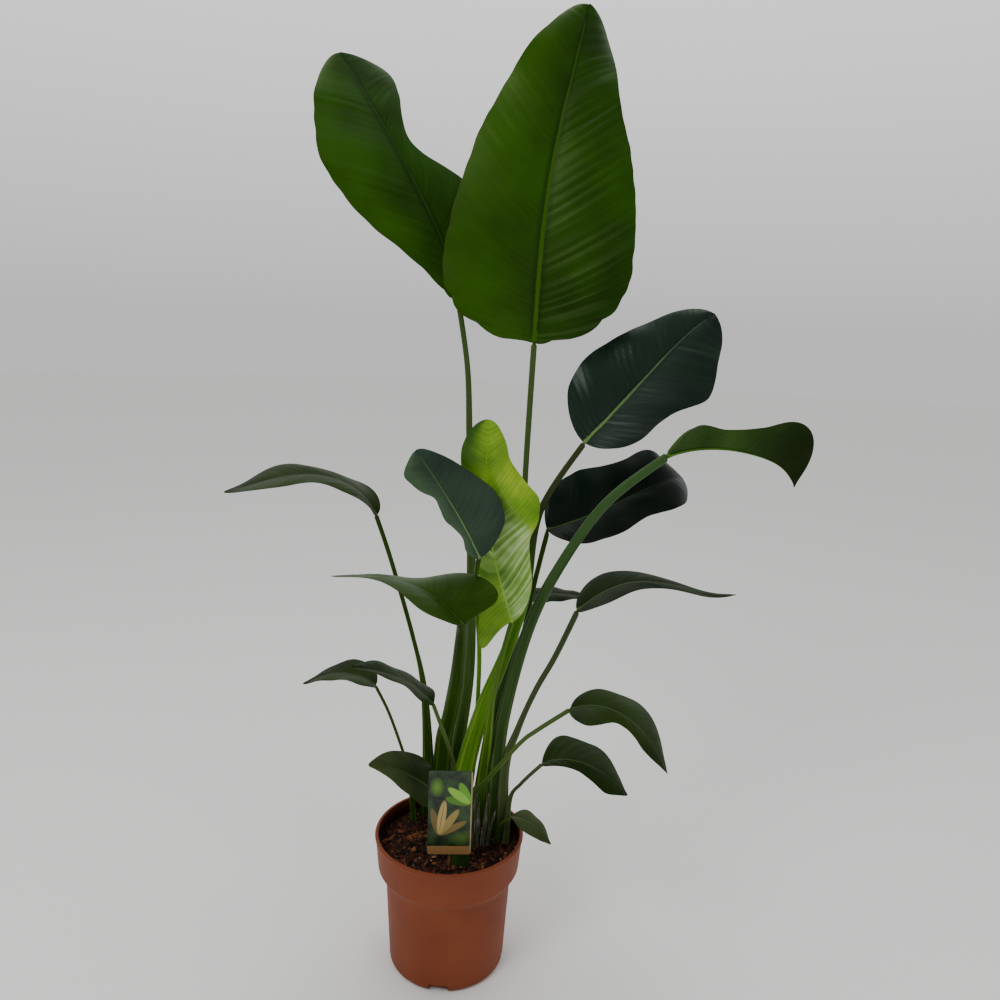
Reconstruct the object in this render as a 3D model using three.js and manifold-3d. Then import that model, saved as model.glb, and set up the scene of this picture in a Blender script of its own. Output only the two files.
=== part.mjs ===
// A potted white bird of paradise (Strelitzia nicolai): a clump of paddle leaves on long stalks,
// in a nursery pot of thin plastic that is filled with potting soil, with a plant label.
// Units are millimetres and Z is up. The origin is the centre of the pot's flat base, X points
// to the right of the plant as it faces the viewer, and Y points away from the viewer.
import * as THREE from "three";
import { mergeVertices } from "three/addons/utils/BufferGeometryUtils.js";
import Module from "manifold-3d";

const wasm = await Module();
wasm.setup();

const GAP = 0.3; // between two pieces that touch
const NECK_GAP = 0.5; // between a stalk's end and its blade

const POT = {
  height: 220,
  rimRadius: 115.5,
  collarFoot: { radius: 111.5, z: 166 },
  bodyTop: { radius: 99.2, z: 150 },
  baseRadius: 91.5,
  corner: 10, // radius of the rounded edge at the base
  wall: 3,
  lip: 1.6, // radius of the rolled lip at the rim, outside the wall
  sides: 48,
};
const DRAIN_HOLES = { count: 8, radius: 5, ring: 52, sides: 12 };
const DRAIN_SLOTS = { count: 4, width: 30, height: 13, depth: 24, turn: -7 }; // turn in degrees

// dome is how far the soil rises above its edge, on the radii of rise
const SOIL = { z: 195, dome: 3, rise: [72, 36, 0], sides: 40, holeDepth: 15 };

const LABEL = {
  width: 66,
  height: 138,
  thickness: 1.5,
  corner: 4,
  foot: { x: 0, y: -61, z: 219 }, // middle of the card's lower edge
  stake: { width: 28, thickness: 1.2, x: 18, top: 300, z: 150, point: 20 },
};

// Shape of a leaf. neck is where the blade joins its stalk. heading (from +X towards +Y) and rise
// (up from level) are the midrib's direction in degrees, and roll turns the blade about it.
// left and right lift each half of the blade from flat, in degrees, and wideLeft and wideRight are
// the halves' widths. Each list runs from the neck to the tip in even steps. ends are the shares
// of the length that the rounded base and tip take, lobe is how far each half reaches back past
// the neck, wave is the margin's ripple as height, count and phase, and crease folds one half
// over beyond a share of its width. stalk lists the stalk's centre line from the soil to the
// neck, and sheath is its width at the soil, its width at the neck and the share that tapers.
const LEAVES = {
  tall_right: {
    neck: [106, 60, 985],
    length: 494,
    heading: [60, 56, 46, 40, 60],
    rise: [88, 84, 78, 74, 70],
    roll: [-27, -29, -36, -46, -54],
    left: [14, 8, 4, 0, -4],
    right: [14, 8, 2, 0, -4],
    wideLeft: [150, 143, 130, 110, 78, 44],
    wideRight: [134, 134, 134, 134, 130, 120, 105, 84, 66, 60, 60],
    ends: [0.25, 0.22],
    lobe: [0.01, 0.01],
    wave: [3, 4, 0.1],
    rows: 14,
    stalk: [[44, 86, 195], [63, 82, 297], [77, 82, 405], [96, 80, 510], [101, 72, 647], [102, 64, 808]],
    sheath: [22, 9, 0.7],
  },
  tall_left: {
    neck: [-8, 110, 1042],
    length: 434,
    heading: [150],
    rise: [77, 61, 57, 53, 54],
    roll: [40, 40, 35, 30, 20],
    left: [10, 6, 2, 0, -4],
    right: [10, 6, 2, 0, -4],
    wideLeft: [34, 66, 110, 126, 94, 50],
    wideRight: [60, 78, 76, 28, 60, 100],
    ends: [0.3, 0.18],
    lobe: [0.02, 0.02],
    wave: [0, 3, 0.3],
    rows: 14,
    stalk: [
      [0, 90, 195], [6, 88, 282], [24, 94, 437], [25, 98, 571],
      [21, 102, 700], [15, 106, 830], [9, 108, 940],
    ],
    sheath: [22, 9, 0.5],
  },
  upper_right: {
    neck: [183, 20, 843],
    length: 284,
    heading: [19],
    rise: [44, 45, 46, 42, 32],
    roll: [-51],
    left: [14, 8, 4, 0, -4],
    right: [14, 8, 4, 0, -4],
    wideLeft: [66, 80, 86, 69, 50, 44],
    wideRight: [56, 62, 67, 92, 68, 64],
    ends: [0.25, 0.3],
    lobe: [0.02, 0.02],
    wave: [2, 4, 0.1],
    rows: 13,
    stalk: [[2, 50, 195], [25, 42, 315], [49, 36, 415], [82, 36, 509], [108, 36, 601], [123, 26, 735]],
    sheath: [24, 8, 0.7],
  },
  mid_right: {
    neck: [139, 60, 700],
    length: 258,
    heading: [10, 10, 10, 20, 60],
    rise: [16, 20, 26, 18, -10],
    roll: [-46],
    left: [14, 8, 4, 0, -4],
    right: [14, 8, 4, 0, -4],
    wideLeft: [64, 72, 76, 62, 66, 60],
    wideRight: [40, 48, 50, 44, 52, 50],
    ends: [0.25, 0.3],
    lobe: [0.02, 0.02],
    wave: [2, 4, 0.1],
    rows: 13,
    stalk: [[70, 60, 195], [75, 58, 310], [97, 58, 451], [121, 60, 602]],
    sheath: [20, 8, 0.5],
  },
  far_right: {
    neck: [293, -40, 836],
    length: 200,
    heading: [-6],
    rise: [22, 6, -8, -24, -66],
    roll: [-5],
    left: [40, 50, 50, 40, 30],
    right: [50, 70, 76, 74, 60],
    wideLeft: [20, 34, 30, 36, 60, 10],
    wideRight: [12, 40, 30, 42, 70, 10],
    ends: [0.25, 0.3],
    lobe: [0, 0],
    wave: [0, 2, 0.1],
    rows: 13,
    stalk: [[72, 36, 195], [73, 30, 320], [83, 22, 422], [111, 0, 559], [150, -18, 661], [212, -32, 764]],
    sheath: [20, 11, 1.1],
  },
  right_arching: {
    neck: [181, -20, 597],
    length: 246,
    heading: [-5],
    rise: [45, 27, -2, -13, 8],
    roll: [-4],
    left: [15, 10, 0, 0, 0],
    right: [5, 0, 0, 0, 0],
    wideLeft: [50, 50, 38, 22, 12, 6],
    wideRight: [40, 46, 30, 20, 12, 6],
    ends: [0.3, 0.2],
    lobe: [0, 0],
    wave: [0, 2, 0.1],
    rows: 12,
    stalk: [[86, 14, 195], [84, 10, 318], [102, 2, 394], [126, -6, 463], [152, -14, 521]],
    sheath: [20, 9, 0.5],
  },
  low_right: {
    neck: [170, -80, 468],
    length: 184,
    heading: [-22],
    rise: [30, 0, -30, -52, -66],
    roll: [-5],
    left: [15, 5, 0, -5, -5],
    right: [0, -5, -10, -10, -10],
    wideLeft: [42, 40, 42, 42, 47, 53, 52, 45, 34, 22, 12],
    wideRight: [46, 52, 52, 38, 22, 20, 22, 24, 20, 14, 8],
    ends: [0.3, 0.25],
    lobe: [0, 0],
    wave: [1, 2, 0.1],
    rows: 12,
    stalk: [[34, 32, 195], [39, 20, 271], [58, 0, 310], [102, -36, 389], [125, -52, 419]],
    sheath: [18, 7, 0.5],
  },
  lower_right: {
    neck: [138, -40, 359],
    length: 145,
    heading: [-22],
    rise: [35, 10, -12, -30, -45],
    roll: [-4],
    left: [15, 5, 0, -5, -5],
    right: [0, -5, -10, -10, -10],
    wideLeft: [58, 58, 56, 54, 54, 54, 50, 42, 30, 20, 10],
    wideRight: [22, 16, 16, 24, 28, 14],
    ends: [0.2, 0.25],
    lobe: [0, 0],
    wave: [1, 2, 0.1],
    rows: 11,
    stalk: [[90, 0, 195], [94, 4, 270], [110, -14, 311]],
    sheath: [12, 6, 0.5],
  },
  lowest_right: {
    neck: [96, -10, 250],
    length: 80,
    heading: [-34],
    rise: [20, 0, -15, -35, -45],
    roll: [0],
    left: [10, 5, 0, -5, -5],
    right: [0, -5, -10, -10, -10],
    wideLeft: [22, 24, 22, 18, 11, 5],
    wideRight: [8, 14, 20, 20, 12, 5],
    ends: [0.3, 0.25],
    lobe: [0, 0],
    wave: [1, 2, 0.1],
    rows: 9,
    stalk: [[70, 6, 195], [80, -10, 236]],
    sheath: [8, 5, 0.5],
  },
  far_left: {
    neck: [-123, 40, 721],
    length: 248,
    heading: [185],
    rise: [64, 30, 0, -16, -14],
    roll: [2],
    left: [0, -4, -4, -4, 0],
    right: [30, 2, 8, 16, 10],
    wideLeft: [30, 36, 42, 48, 40, 16],
    wideRight: [40, 50, 30, 44, 32, 12],
    ends: [0.3, 0.25],
    lobe: [0, 0],
    wave: [1, 3, 0.1],
    rows: 12,
    stalk: [[-38, 80, 195], [-38, 76, 290], [-47, 68, 427], [-66, 60, 521], [-101, 54, 647]],
    sheath: [26, 7, 0.55],
  },
  mid_left: {
    neck: [11, -104, 603],
    length: 217,
    heading: [160],
    rise: [46, 28, 10, -8, -6],
    roll: [0],
    left: [4, -4, 4, 12, 12],
    right: [64, 50, -6, -8, -4],
    wideLeft: [41, 48, 43, 29, 22, 14],
    wideRight: [78, 72, 54, 35, 24, 13],
    ends: [0.3, 0.2],
    lobe: [0, 0.28],
    wave: [0, 3, 0.1],
    rows: 13,
    stalk: [[-18, 64, 195], [-13, 56, 337], [-4, 34, 400], [5, -10, 487], [9, -62, 562]],
    sheath: [26, 10, 1.1],
  },
  low_left: {
    neck: [-122, 40, 446],
    length: 120,
    heading: [185],
    rise: [42, 22, 0, -18, -30],
    roll: [-2],
    left: [0, 0, 0, 0, 0],
    right: [20, 15, 10, 0, 0],
    wideLeft: [30, 34, 32, 26, 18, 8],
    wideRight: [40, 42, 38, 30, 16, 8],
    ends: [0.3, 0.25],
    lobe: [0.05, 0.05],
    wave: [1, 3, 0.1],
    rows: 10,
    stalk: [[-58, 62, 195], [-67, 62, 279], [-81, 58, 330], [-102, 50, 396]],
    sheath: [12, 5, 0.4],
  },
  low_left_inner: {
    neck: [-29, -50, 460],
    length: 138,
    heading: [190],
    rise: [50, 40, 26, 16, 8],
    roll: [0],
    left: [-6, 0, 8, 10, 10],
    right: [16, 0, -4, 2, 4],
    wideLeft: [30, 38, 32, 26, 18, 8],
    wideRight: [48, 48, 44, 38, 28, 12],
    ends: [0.3, 0.25],
    lobe: [0, 0.2],
    wave: [1, 3, 0.1],
    rows: 11,
    stalk: [[4, 26, 195], [6, 8, 310], [-4, -18, 371]],
    sheath: [14, 6, 0.5],
  },
  lowest_left: {
    neck: [-17, 30, 263],
    length: 152,
    heading: [209],
    rise: [45, 42, 38, 30, 10],
    roll: [34],
    left: [5, 0, 0, 0, 0],
    right: [5, 0, 0, 0, 0],
    wideLeft: [30, 40, 40, 32, 20, 8],
    wideRight: [46, 50, 46, 38, 24, 10],
    ends: [0.3, 0.25],
    lobe: [0, 0],
    wave: [1, 3, 0.1],
    rows: 11,
    stalk: [[-16, 30, 195], [-12, 31, 228]],
    sheath: [12, 7, 0.5],
  },
  young: {
    neck: [83, -40, 585],
    length: 300,
    heading: [180],
    rise: [72, 74, 82, 88, 92],
    roll: [90],
    left: [5, 0, 0, 0, 0],
    right: [5, 0, 0, 0, 0],
    wideLeft: [60, 54, 28, 26, 36, 30],
    wideRight: [34, 40, 46, 52, 61, 74, 80, 60, 39, 30, 24],
    ends: [0.2, 0.15],
    lobe: [0.43, 0],
    wave: [0, 3, 0.1],
    crease: { side: 1, at: [1, 1, 0.85, 0.42, 0.2, 0.2], turn: [0, 0, -20, -30, -30, -20] },
    rows: 14,
    stalk: [[44, 56, 195], [51, 42, 287], [56, 14, 371], [60, -8, 450], [70, -26, 522]],
    sheath: [16, 7, 0.7],
  },
  centre: {
    neck: [31, -90, 694],
    length: 172,
    heading: [172, 168, 162, 158, 156],
    rise: [66, 60, 55, 52, 50],
    roll: [60],
    left: [5, 0, 0, 0, 0],
    right: [5, 0, 0, 0, 0],
    wideLeft: [14, 15, 22, 24, 30, 24],
    wideRight: [36, 58, 62, 48, 32, 22],
    ends: [0.2, 0.25],
    lobe: [0, 0],
    wave: [1, 3, 0.1],
    rows: 12,
    stalk: [[22, 80, 195], [37, 72, 320], [40, 60, 414], [38, 6, 524], [29, -42, 640]],
    sheath: [16, 7, 0.4],
  },
  back: {
    neck: [112, 110, 572],
    length: 110,
    heading: [0],
    rise: [20, 4, -4, -10],
    roll: [0],
    left: [5, 5, 5, 0, 0],
    right: [-10, -10, -10, -5, 0],
    wideLeft: [26, 30, 28, 24, 18, 8],
    wideRight: [26, 30, 28, 24, 18, 8],
    ends: [0.3, 0.25],
    lobe: [0, 0],
    wave: [1, 3, 0.1],
    rows: 9,
    stalk: [[60, 78, 195], [80, 92, 310], [92, 98, 398], [100, 104, 484]],
    sheath: [10, 5, 0.4],
  },
};

const MIDRIB_STEPS = 60;
const BLADE_THICKNESS = 1.2;
// The side veins leave the midrib at a slant: a row of the blade starts at share t ** root of the
// length and bends back towards t by the share ** spread of the half's width. The lobe at the base
// is lobe * t * (1 - t) ** fade of the length.
const SWEEP = { root: 1.2, spread: 1.4, lobe: 6.6, fade: 4 };
// The midrib's keel: tip is the share of its size that is left at the tip, and most is the largest
// share of a half's width that it takes.
const RIB = { depth: 4, halfWidth: 3.5, tip: 0.2, most: 0.24 };
const BLADE_COLUMNS = [1, 0.66, 0.33]; // shares of a half's width, from the margin inwards
const ARC = { base: 0.1, tip: 0.08 }; // the angles in radians that the first and last row keep off
// flatness is a stalk's depth over its width, at the foot and at the neck, and look is how far
// ahead, as a share of its length, its direction is taken.
const STALK = { sides: 8, step: 46, fewest: 5, flatness: [0.62, 0.8], taper: 1.4, look: 0.01 };

const MATERIALS = {
  pot: { color: 0x8a4a30, roughness: 0.62, metalness: 0 }, // matt terracotta-brown plastic
  soil: { color: 0x241a14, roughness: 0.95, metalness: 0 },
  card: { color: 0x2c4a24, roughness: 0.45, metalness: 0 }, // printed plastic card
  stake: { color: 0x1e3222, roughness: 0.5, metalness: 0 },
  bright: { color: 0x2d5a14, roughness: 0.45, metalness: 0 }, // the tall leaves' mid green
  dark: { color: 0x1c2b20, roughness: 0.4, metalness: 0 },
  olive: { color: 0x3a4a26, roughness: 0.5, metalness: 0 },
  young: { color: 0x8fb548, roughness: 0.5, metalness: 0 },
  stalk: { color: 0x2a3a20, roughness: 0.5, metalness: 0 },
  greenStalk: { color: 0x6b8a1e, roughness: 0.5, metalness: 0 },
};
const BLADE_FINISH = {
  tall_right: "bright",
  tall_left: "bright",
  far_right: "olive",
  mid_left: "olive",
  young: "young",
};
const STALK_FINISH = { upper_right: "greenStalk", young: "greenStalk", centre: "greenStalk" };

const vector = (values) => new THREE.Vector3(...values);
const radians = THREE.MathUtils.degToRad;

// The value at t (0 to 1) of a smooth curve through evenly spaced numbers.
function smooth(values, t) {
  const last = values.length - 1;
  const place = THREE.MathUtils.clamp(t, 0, 1) * last;
  const i = Math.min(Math.floor(place), Math.max(last - 1, 0));
  const f = place - i;
  const b = values[i];
  const a = values[Math.max(i - 1, 0)];
  const c = values[Math.min(i + 1, last)];
  const d = values[Math.min(i + 2, last)];
  return b + 0.5 * f * (c - a + f * (2 * a - 5 * b + 4 * c - d + f * (3 * (b - c) + d - a)));
}

function smoothPoint(points, t) {
  return vector([0, 1, 2].map((axis) => smooth(points.map((p) => p[axis]), t)));
}

// A unit vector from a heading and a rise in degrees.
function direction(heading, rise) {
  const h = radians(heading);
  const e = radians(rise);
  return vector([Math.cos(h) * Math.cos(e), Math.sin(h) * Math.cos(e), Math.sin(e)]);
}

// The blade's surface: point(t, v) is at share t of the length and share v of a half's width,
// with v from -1 at the left margin to 1 at the right one.
class Blade {
  constructor(leaf) {
    this.leaf = leaf;
    this.midrib = [vector(leaf.neck)];
    for (let i = 0; i < MIDRIB_STEPS; i++) {
      const step = this.tangent((i + 0.5) / MIDRIB_STEPS).multiplyScalar(leaf.length / MIDRIB_STEPS);
      this.midrib.push(this.midrib[i].clone().add(step));
    }
  }

  tangent(t) {
    return direction(smooth(this.leaf.heading, t), smooth(this.leaf.rise, t));
  }

  middle(t) {
    if (t <= 0) return this.midrib[0].clone().addScaledVector(this.tangent(0), t * this.leaf.length);
    const place = Math.min(t, 1) * MIDRIB_STEPS;
    const i = Math.min(Math.floor(place), MIDRIB_STEPS - 1);
    return this.midrib[i].clone().lerp(this.midrib[i + 1], place - i);
  }

  // The directions across the blade, towards its right half, and up from its face.
  frame(t) {
    const level = radians(smooth(this.leaf.heading, t));
    const across = vector([Math.sin(level), -Math.cos(level), 0]);
    const up = across.clone().cross(this.tangent(t));
    const roll = radians(smooth(this.leaf.roll, t));
    const side = across.clone().multiplyScalar(Math.cos(roll)).addScaledVector(up, Math.sin(roll));
    up.multiplyScalar(Math.cos(roll)).addScaledVector(across, -Math.sin(roll));
    return { side, up };
  }

  halfWidth(t, side) {
    const { ends, wideLeft, wideRight } = this.leaf;
    const [base, tip] = ends;
    let width = smooth(side > 0 ? wideRight : wideLeft, t);
    if (t < base) width *= Math.sqrt(1 - (1 - t / base) ** 2);
    if (t > 1 - tip) width *= Math.sqrt(Math.max(1 - ((t - 1 + tip) / tip) ** 2, 0));
    return width;
  }

  point(t, v) {
    const { leaf } = this;
    const side = v > 0 ? 1 : -1;
    const share = Math.abs(v);
    const spread = share ** SWEEP.spread;
    const root = t ** SWEEP.root;
    const lobe = leaf.lobe[side > 0 ? 1 : 0] * SWEEP.lobe * t * (1 - t) ** SWEEP.fade;
    const u = root + (t - root - lobe) * spread;
    const centre = this.middle(u);
    const frame = this.frame(u);
    const lift = radians(smooth(side > 0 ? leaf.right : leaf.left, t));
    const reach = this.halfWidth(t, side) * share;
    const { crease } = leaf;
    const fold = crease && crease.side === side ? smooth(crease.at, t) : 1;
    const inner = share > fold ? (reach * fold) / share : reach;
    const turn = share > fold ? radians(smooth(crease.turn, t)) : 0;
    for (const [length, angle] of [[inner, lift], [reach - inner, lift + turn]]) {
      centre.addScaledVector(frame.side, side * Math.cos(angle) * length);
      centre.addScaledVector(frame.up, Math.sin(angle) * length);
    }
    const [height, count, phase] = leaf.wave;
    const ripple = height * share ** 2 * Math.sin(2 * Math.PI * (count * t + phase * side));
    return centre.addScaledVector(frame.up, ripple);
  }
}

// A closed geometry from rows of points: each row is a loop, and the first and last are capped.
function loft(rows) {
  const positions = rows.flat().flatMap((p) => [p.x, p.y, p.z]);
  const around = rows[0].length;
  const index = [];
  for (let row = 0; row + 1 < rows.length; row++) {
    for (let i = 0; i < around; i++) {
      const a = row * around + i;
      const b = row * around + ((i + 1) % around);
      index.push(a, b, a + around, b, b + around, a + around);
    }
  }
  const last = (rows.length - 1) * around;
  for (let i = 1; i + 1 < around; i++) {
    index.push(0, i + 1, i, last, last + i, last + i + 1);
  }
  const geometry = new THREE.BufferGeometry();
  geometry.setAttribute("position", new THREE.Float32BufferAttribute(positions, 3));
  geometry.setIndex(index);
  return geometry;
}

function solidOf(geometry) {
  const bare = geometry.clone();
  bare.deleteAttribute("normal");
  bare.deleteAttribute("uv");
  const merged = mergeVertices(bare, 1e-4);
  return new wasm.Manifold(
    new wasm.Mesh({
      numProp: 3,
      vertProperties: merged.attributes.position.array,
      triVerts: new Uint32Array(merged.index.array),
    }),
  );
}

function geometryOf(solid) {
  const mesh = solid.getMesh();
  const geometry = new THREE.BufferGeometry();
  geometry.setAttribute("position", new THREE.BufferAttribute(mesh.vertProperties, 3));
  geometry.setIndex(new THREE.BufferAttribute(mesh.triVerts, 1));
  return geometry;
}

function meshOf(name, geometry, finish) {
  geometry.computeVertexNormals();
  const mesh = new THREE.Mesh(geometry, new THREE.MeshStandardMaterial(MATERIALS[finish]));
  mesh.name = name;
  return mesh;
}

// A solid turned about the Z axis from a profile of [radius, z], from its foot to its top.
function turned(profile, sides) {
  const points = profile.map(([radius, z]) => new THREE.Vector2(radius, z));
  return new THREE.LatheGeometry(points, sides).rotateX(Math.PI / 2);
}

// Points of a quarter round of the given radius, from one angle to another in degrees.
function arc(x, z, radius, from, to, steps) {
  return Array.from({ length: steps + 1 }, (_, i) => {
    const angle = radians(from + ((to - from) * i) / steps);
    return [x + radius * Math.cos(angle), z + radius * Math.sin(angle)];
  });
}

// The pot's outside, from the base to the rim, moved inwards by inset.
function potWall(inset) {
  const { rimRadius, collarFoot, bodyTop, baseRadius, corner, height } = POT;
  return [
    ...arc(baseRadius - corner, corner, corner - inset, -90, 0, 4),
    [bodyTop.radius - inset, bodyTop.z],
    [collarFoot.radius - inset, collarFoot.z],
    [rimRadius - inset, height],
  ];
}

function potGeometry() {
  const { height, rimRadius, wall, lip, sides } = POT;
  const outside = potWall(0);
  const inside = potWall(wall).reverse();
  const top = rimRadius - wall / 2;
  outside.splice(-1, 1, [rimRadius, height - 4 * lip]);
  inside.splice(0, 1, [rimRadius - wall, height - 2 * lip]);
  const profile = [
    [0, 0],
    ...outside,
    ...arc(top, height - lip, lip + wall / 2, -45, 135, 5),
    ...inside,
    [0, wall],
  ];
  let pot = solidOf(turned(profile, sides));
  for (let i = 0; i < DRAIN_HOLES.count; i++) {
    const angle = (2 * Math.PI * (i + 0.5)) / DRAIN_HOLES.count;
    const { radius } = DRAIN_HOLES;
    const hole = new THREE.CylinderGeometry(radius, radius, 4 * wall, DRAIN_HOLES.sides);
    hole.rotateX(Math.PI / 2);
    hole.translate(DRAIN_HOLES.ring * Math.cos(angle), DRAIN_HOLES.ring * Math.sin(angle), 0);
    pot = pot.subtract(solidOf(hole));
  }
  for (let i = 0; i < DRAIN_SLOTS.count; i++) {
    const slot = new THREE.BoxGeometry(DRAIN_SLOTS.depth, DRAIN_SLOTS.width, 2 * DRAIN_SLOTS.height);
    slot.translate(POT.baseRadius, 0, 0);
    slot.rotateZ((2 * Math.PI * i) / DRAIN_SLOTS.count + THREE.MathUtils.degToRad(DRAIN_SLOTS.turn));
    pot = pot.subtract(solidOf(slot));
  }
  return geometryOf(pot);
}

// The width of a stalk at share t of its length.
function stalkWidth(leaf, t) {
  const [wide, slim, end] = leaf.sheath;
  return slim + (wide - slim) * Math.max(0, 1 - t / end) ** STALK.taper;
}

// The stalk's rings, from its foot in the soil to the neck, each grown outwards by grow.
function stalkRings(leaf, grow) {
  const [foot, ...route] = leaf.stalk;
  const arrival = new Blade(leaf).tangent(0);
  const neck = vector(leaf.neck).addScaledVector(arrival, -NECK_GAP);
  const line = [[foot[0], foot[1], SOIL.z - SOIL.holeDepth], ...route, neck.toArray()];
  const length = vector(line[0]).distanceTo(neck);
  const count = Math.max(STALK.fewest, Math.round(length / STALK.step));
  const rings = [];
  for (let i = 0; i <= count; i++) {
    const t = i / count;
    const centre = smoothPoint(line, t);
    const along = smoothPoint(line, t + STALK.look).sub(centre).normalize();
    if (i === 0) along.set(0, 0, 1);
    if (i === count) along.copy(arrival);
    const across = vector([0, 1, 0]).cross(along).normalize();
    const deep = along.clone().cross(across);
    const wide = stalkWidth(leaf, t) / 2;
    const flat = THREE.MathUtils.lerp(...STALK.flatness, t);
    rings.push(
      Array.from({ length: STALK.sides }, (_, k) => {
        const angle = (2 * Math.PI * (k + 0.5)) / STALK.sides;
        return centre
          .clone()
          .addScaledVector(across, (wide + grow) * Math.cos(angle))
          .addScaledVector(deep, (wide * flat + grow) * Math.sin(angle))
          .addScaledVector(along, i === 0 ? -grow : 0);
      }),
    );
  }
  return rings;
}

// The blade as a closed sheet with a keel along its midrib.
function bladeGeometry(leaf) {
  const blade = new Blade(leaf);
  const { rows } = leaf;
  const shares = [];
  for (let row = 0; row < rows; row++) {
    const angle = THREE.MathUtils.lerp(ARC.base, Math.PI - ARC.tip, row / (rows - 1));
    shares.push(0.5 - 0.5 * Math.cos(angle));
  }
  const grid = shares.map((t) => {
    const ribShare = (side) => {
      const width = RIB.halfWidth * THREE.MathUtils.lerp(1, RIB.tip, t);
      return Math.min(RIB.most, width / blade.halfWidth(t, side));
    };
    const left = BLADE_COLUMNS.map((v) => -v);
    const columns = [...left, -ribShare(-1), ribShare(1), ...BLADE_COLUMNS.toReversed()];
    return columns.map((v) => blade.point(t, v));
  });
  const last = grid[0].length - 1;
  const loops = grid.map((row, r) => {
    const rib = [last / 2 - 0.5, last / 2 + 0.5];
    const keel = RIB.depth * THREE.MathUtils.lerp(1, RIB.tip, shares[r]);
    const faces = row.map((p, c) => {
      const along = grid[Math.min(r + 1, rows - 1)][c].clone().sub(grid[Math.max(r - 1, 0)][c]);
      const across = row[Math.min(c + 1, last)].clone().sub(row[Math.max(c - 1, 0)]);
      const normal = across.cross(along).normalize();
      const under = BLADE_THICKNESS / 2 + (rib.includes(c) ? keel : 0);
      return [
        p.clone().addScaledVector(normal, BLADE_THICKNESS / 2),
        p.clone().addScaledVector(normal, -under),
      ];
    });
    return [...faces.map((f) => f[0]), ...faces.map((f) => f[1]).reverse()];
  });
  return loft(loops);
}

// Everything that stands in the soil, grown by the gap, so that it can be cut out of the soil.
function plantedShapes() {
  const shapes = Object.values(LEAVES).map((leaf) => {
    const rings = stalkRings(leaf, GAP);
    const clear = SOIL.z + 2 * SOIL.dome;
    const above = rings.findIndex((ring) => Math.min(...ring.map((p) => p.z)) > clear);
    return loft(rings.slice(0, above + 1));
  });
  return [...shapes, stakeGeometry(GAP)];
}

function soilGeometry() {
  const { z, dome, sides } = SOIL;
  const profile = potWall(POT.wall + GAP);
  const [rim, below] = [profile.at(-1), profile.at(-2)];
  const share = (z - below[1]) / (rim[1] - below[1]);
  profile.splice(-1, 1, [THREE.MathUtils.lerp(below[0], rim[0], share), z]);
  const top = SOIL.rise.map((radius) => [radius, z + dome]);
  let soil = solidOf(turned([[0, POT.wall + GAP], ...profile, ...top], sides));
  for (const shape of plantedShapes()) soil = soil.subtract(solidOf(shape));
  return geometryOf(soil);
}

function cardGeometry() {
  const { width, height, thickness, corner, foot } = LABEL;
  const [x, z] = [width / 2 - corner, height / 2 - corner];
  const outline = new THREE.Shape();
  outline.absarc(x, z, corner, 0, Math.PI / 2);
  outline.absarc(-x, z, corner, Math.PI / 2, Math.PI);
  outline.absarc(-x, -z, corner, Math.PI, 1.5 * Math.PI);
  outline.absarc(x, -z, corner, 1.5 * Math.PI, 2 * Math.PI);
  const settings = { depth: thickness, bevelEnabled: false, curveSegments: 4 };
  const card = new THREE.ExtrudeGeometry(outline, settings);
  card.rotateX(Math.PI / 2);
  return card.translate(foot.x, foot.y + thickness / 2, foot.z + height / 2);
}

// The pointed stake behind the card, grown by grow.
function stakeGeometry(grow) {
  const { foot, thickness } = LABEL;
  const { width, thickness: deep, x, top, z, point } = LABEL.stake;
  const half = width / 2 + grow;
  const outline = new THREE.Shape();
  outline.moveTo(0, z - grow);
  outline.lineTo(half, z + point - grow);
  outline.lineTo(half, top);
  outline.lineTo(-half, top);
  outline.lineTo(-half, z + point - grow);
  outline.closePath();
  const settings = { depth: deep + 2 * grow, bevelEnabled: false };
  const stake = new THREE.ExtrudeGeometry(outline, settings);
  stake.rotateX(Math.PI / 2);
  return stake.translate(foot.x + x, foot.y + thickness / 2 + GAP + deep + grow, 0);
}

const plant = new THREE.Group();
plant.name = "potted_bird_of_paradise";
plant.add(meshOf("pot", potGeometry(), "pot"));
plant.add(meshOf("soil", soilGeometry(), "soil"));
plant.add(meshOf("label_card", cardGeometry(), "card"));
plant.add(meshOf("label_stake", stakeGeometry(0), "stake"));
for (const [name, leaf] of Object.entries(LEAVES)) {
  plant.add(meshOf(`blade_${name}`, bladeGeometry(leaf), BLADE_FINISH[name] ?? "dark"));
  plant.add(meshOf(`stalk_${name}`, loft(stalkRings(leaf, 0)), STALK_FINISH[name] ?? "stalk"));
}

export default plant;
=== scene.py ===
# A potted white bird of paradise: the looks of the pot, the soil, the leaves and the label.
# Lengths in the tables are millimetres, and points are scaled to metres where a mesh is made.
import math
import random
from functools import partial

import bmesh
import bpy
from mathutils import Matrix, Vector, noise


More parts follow.
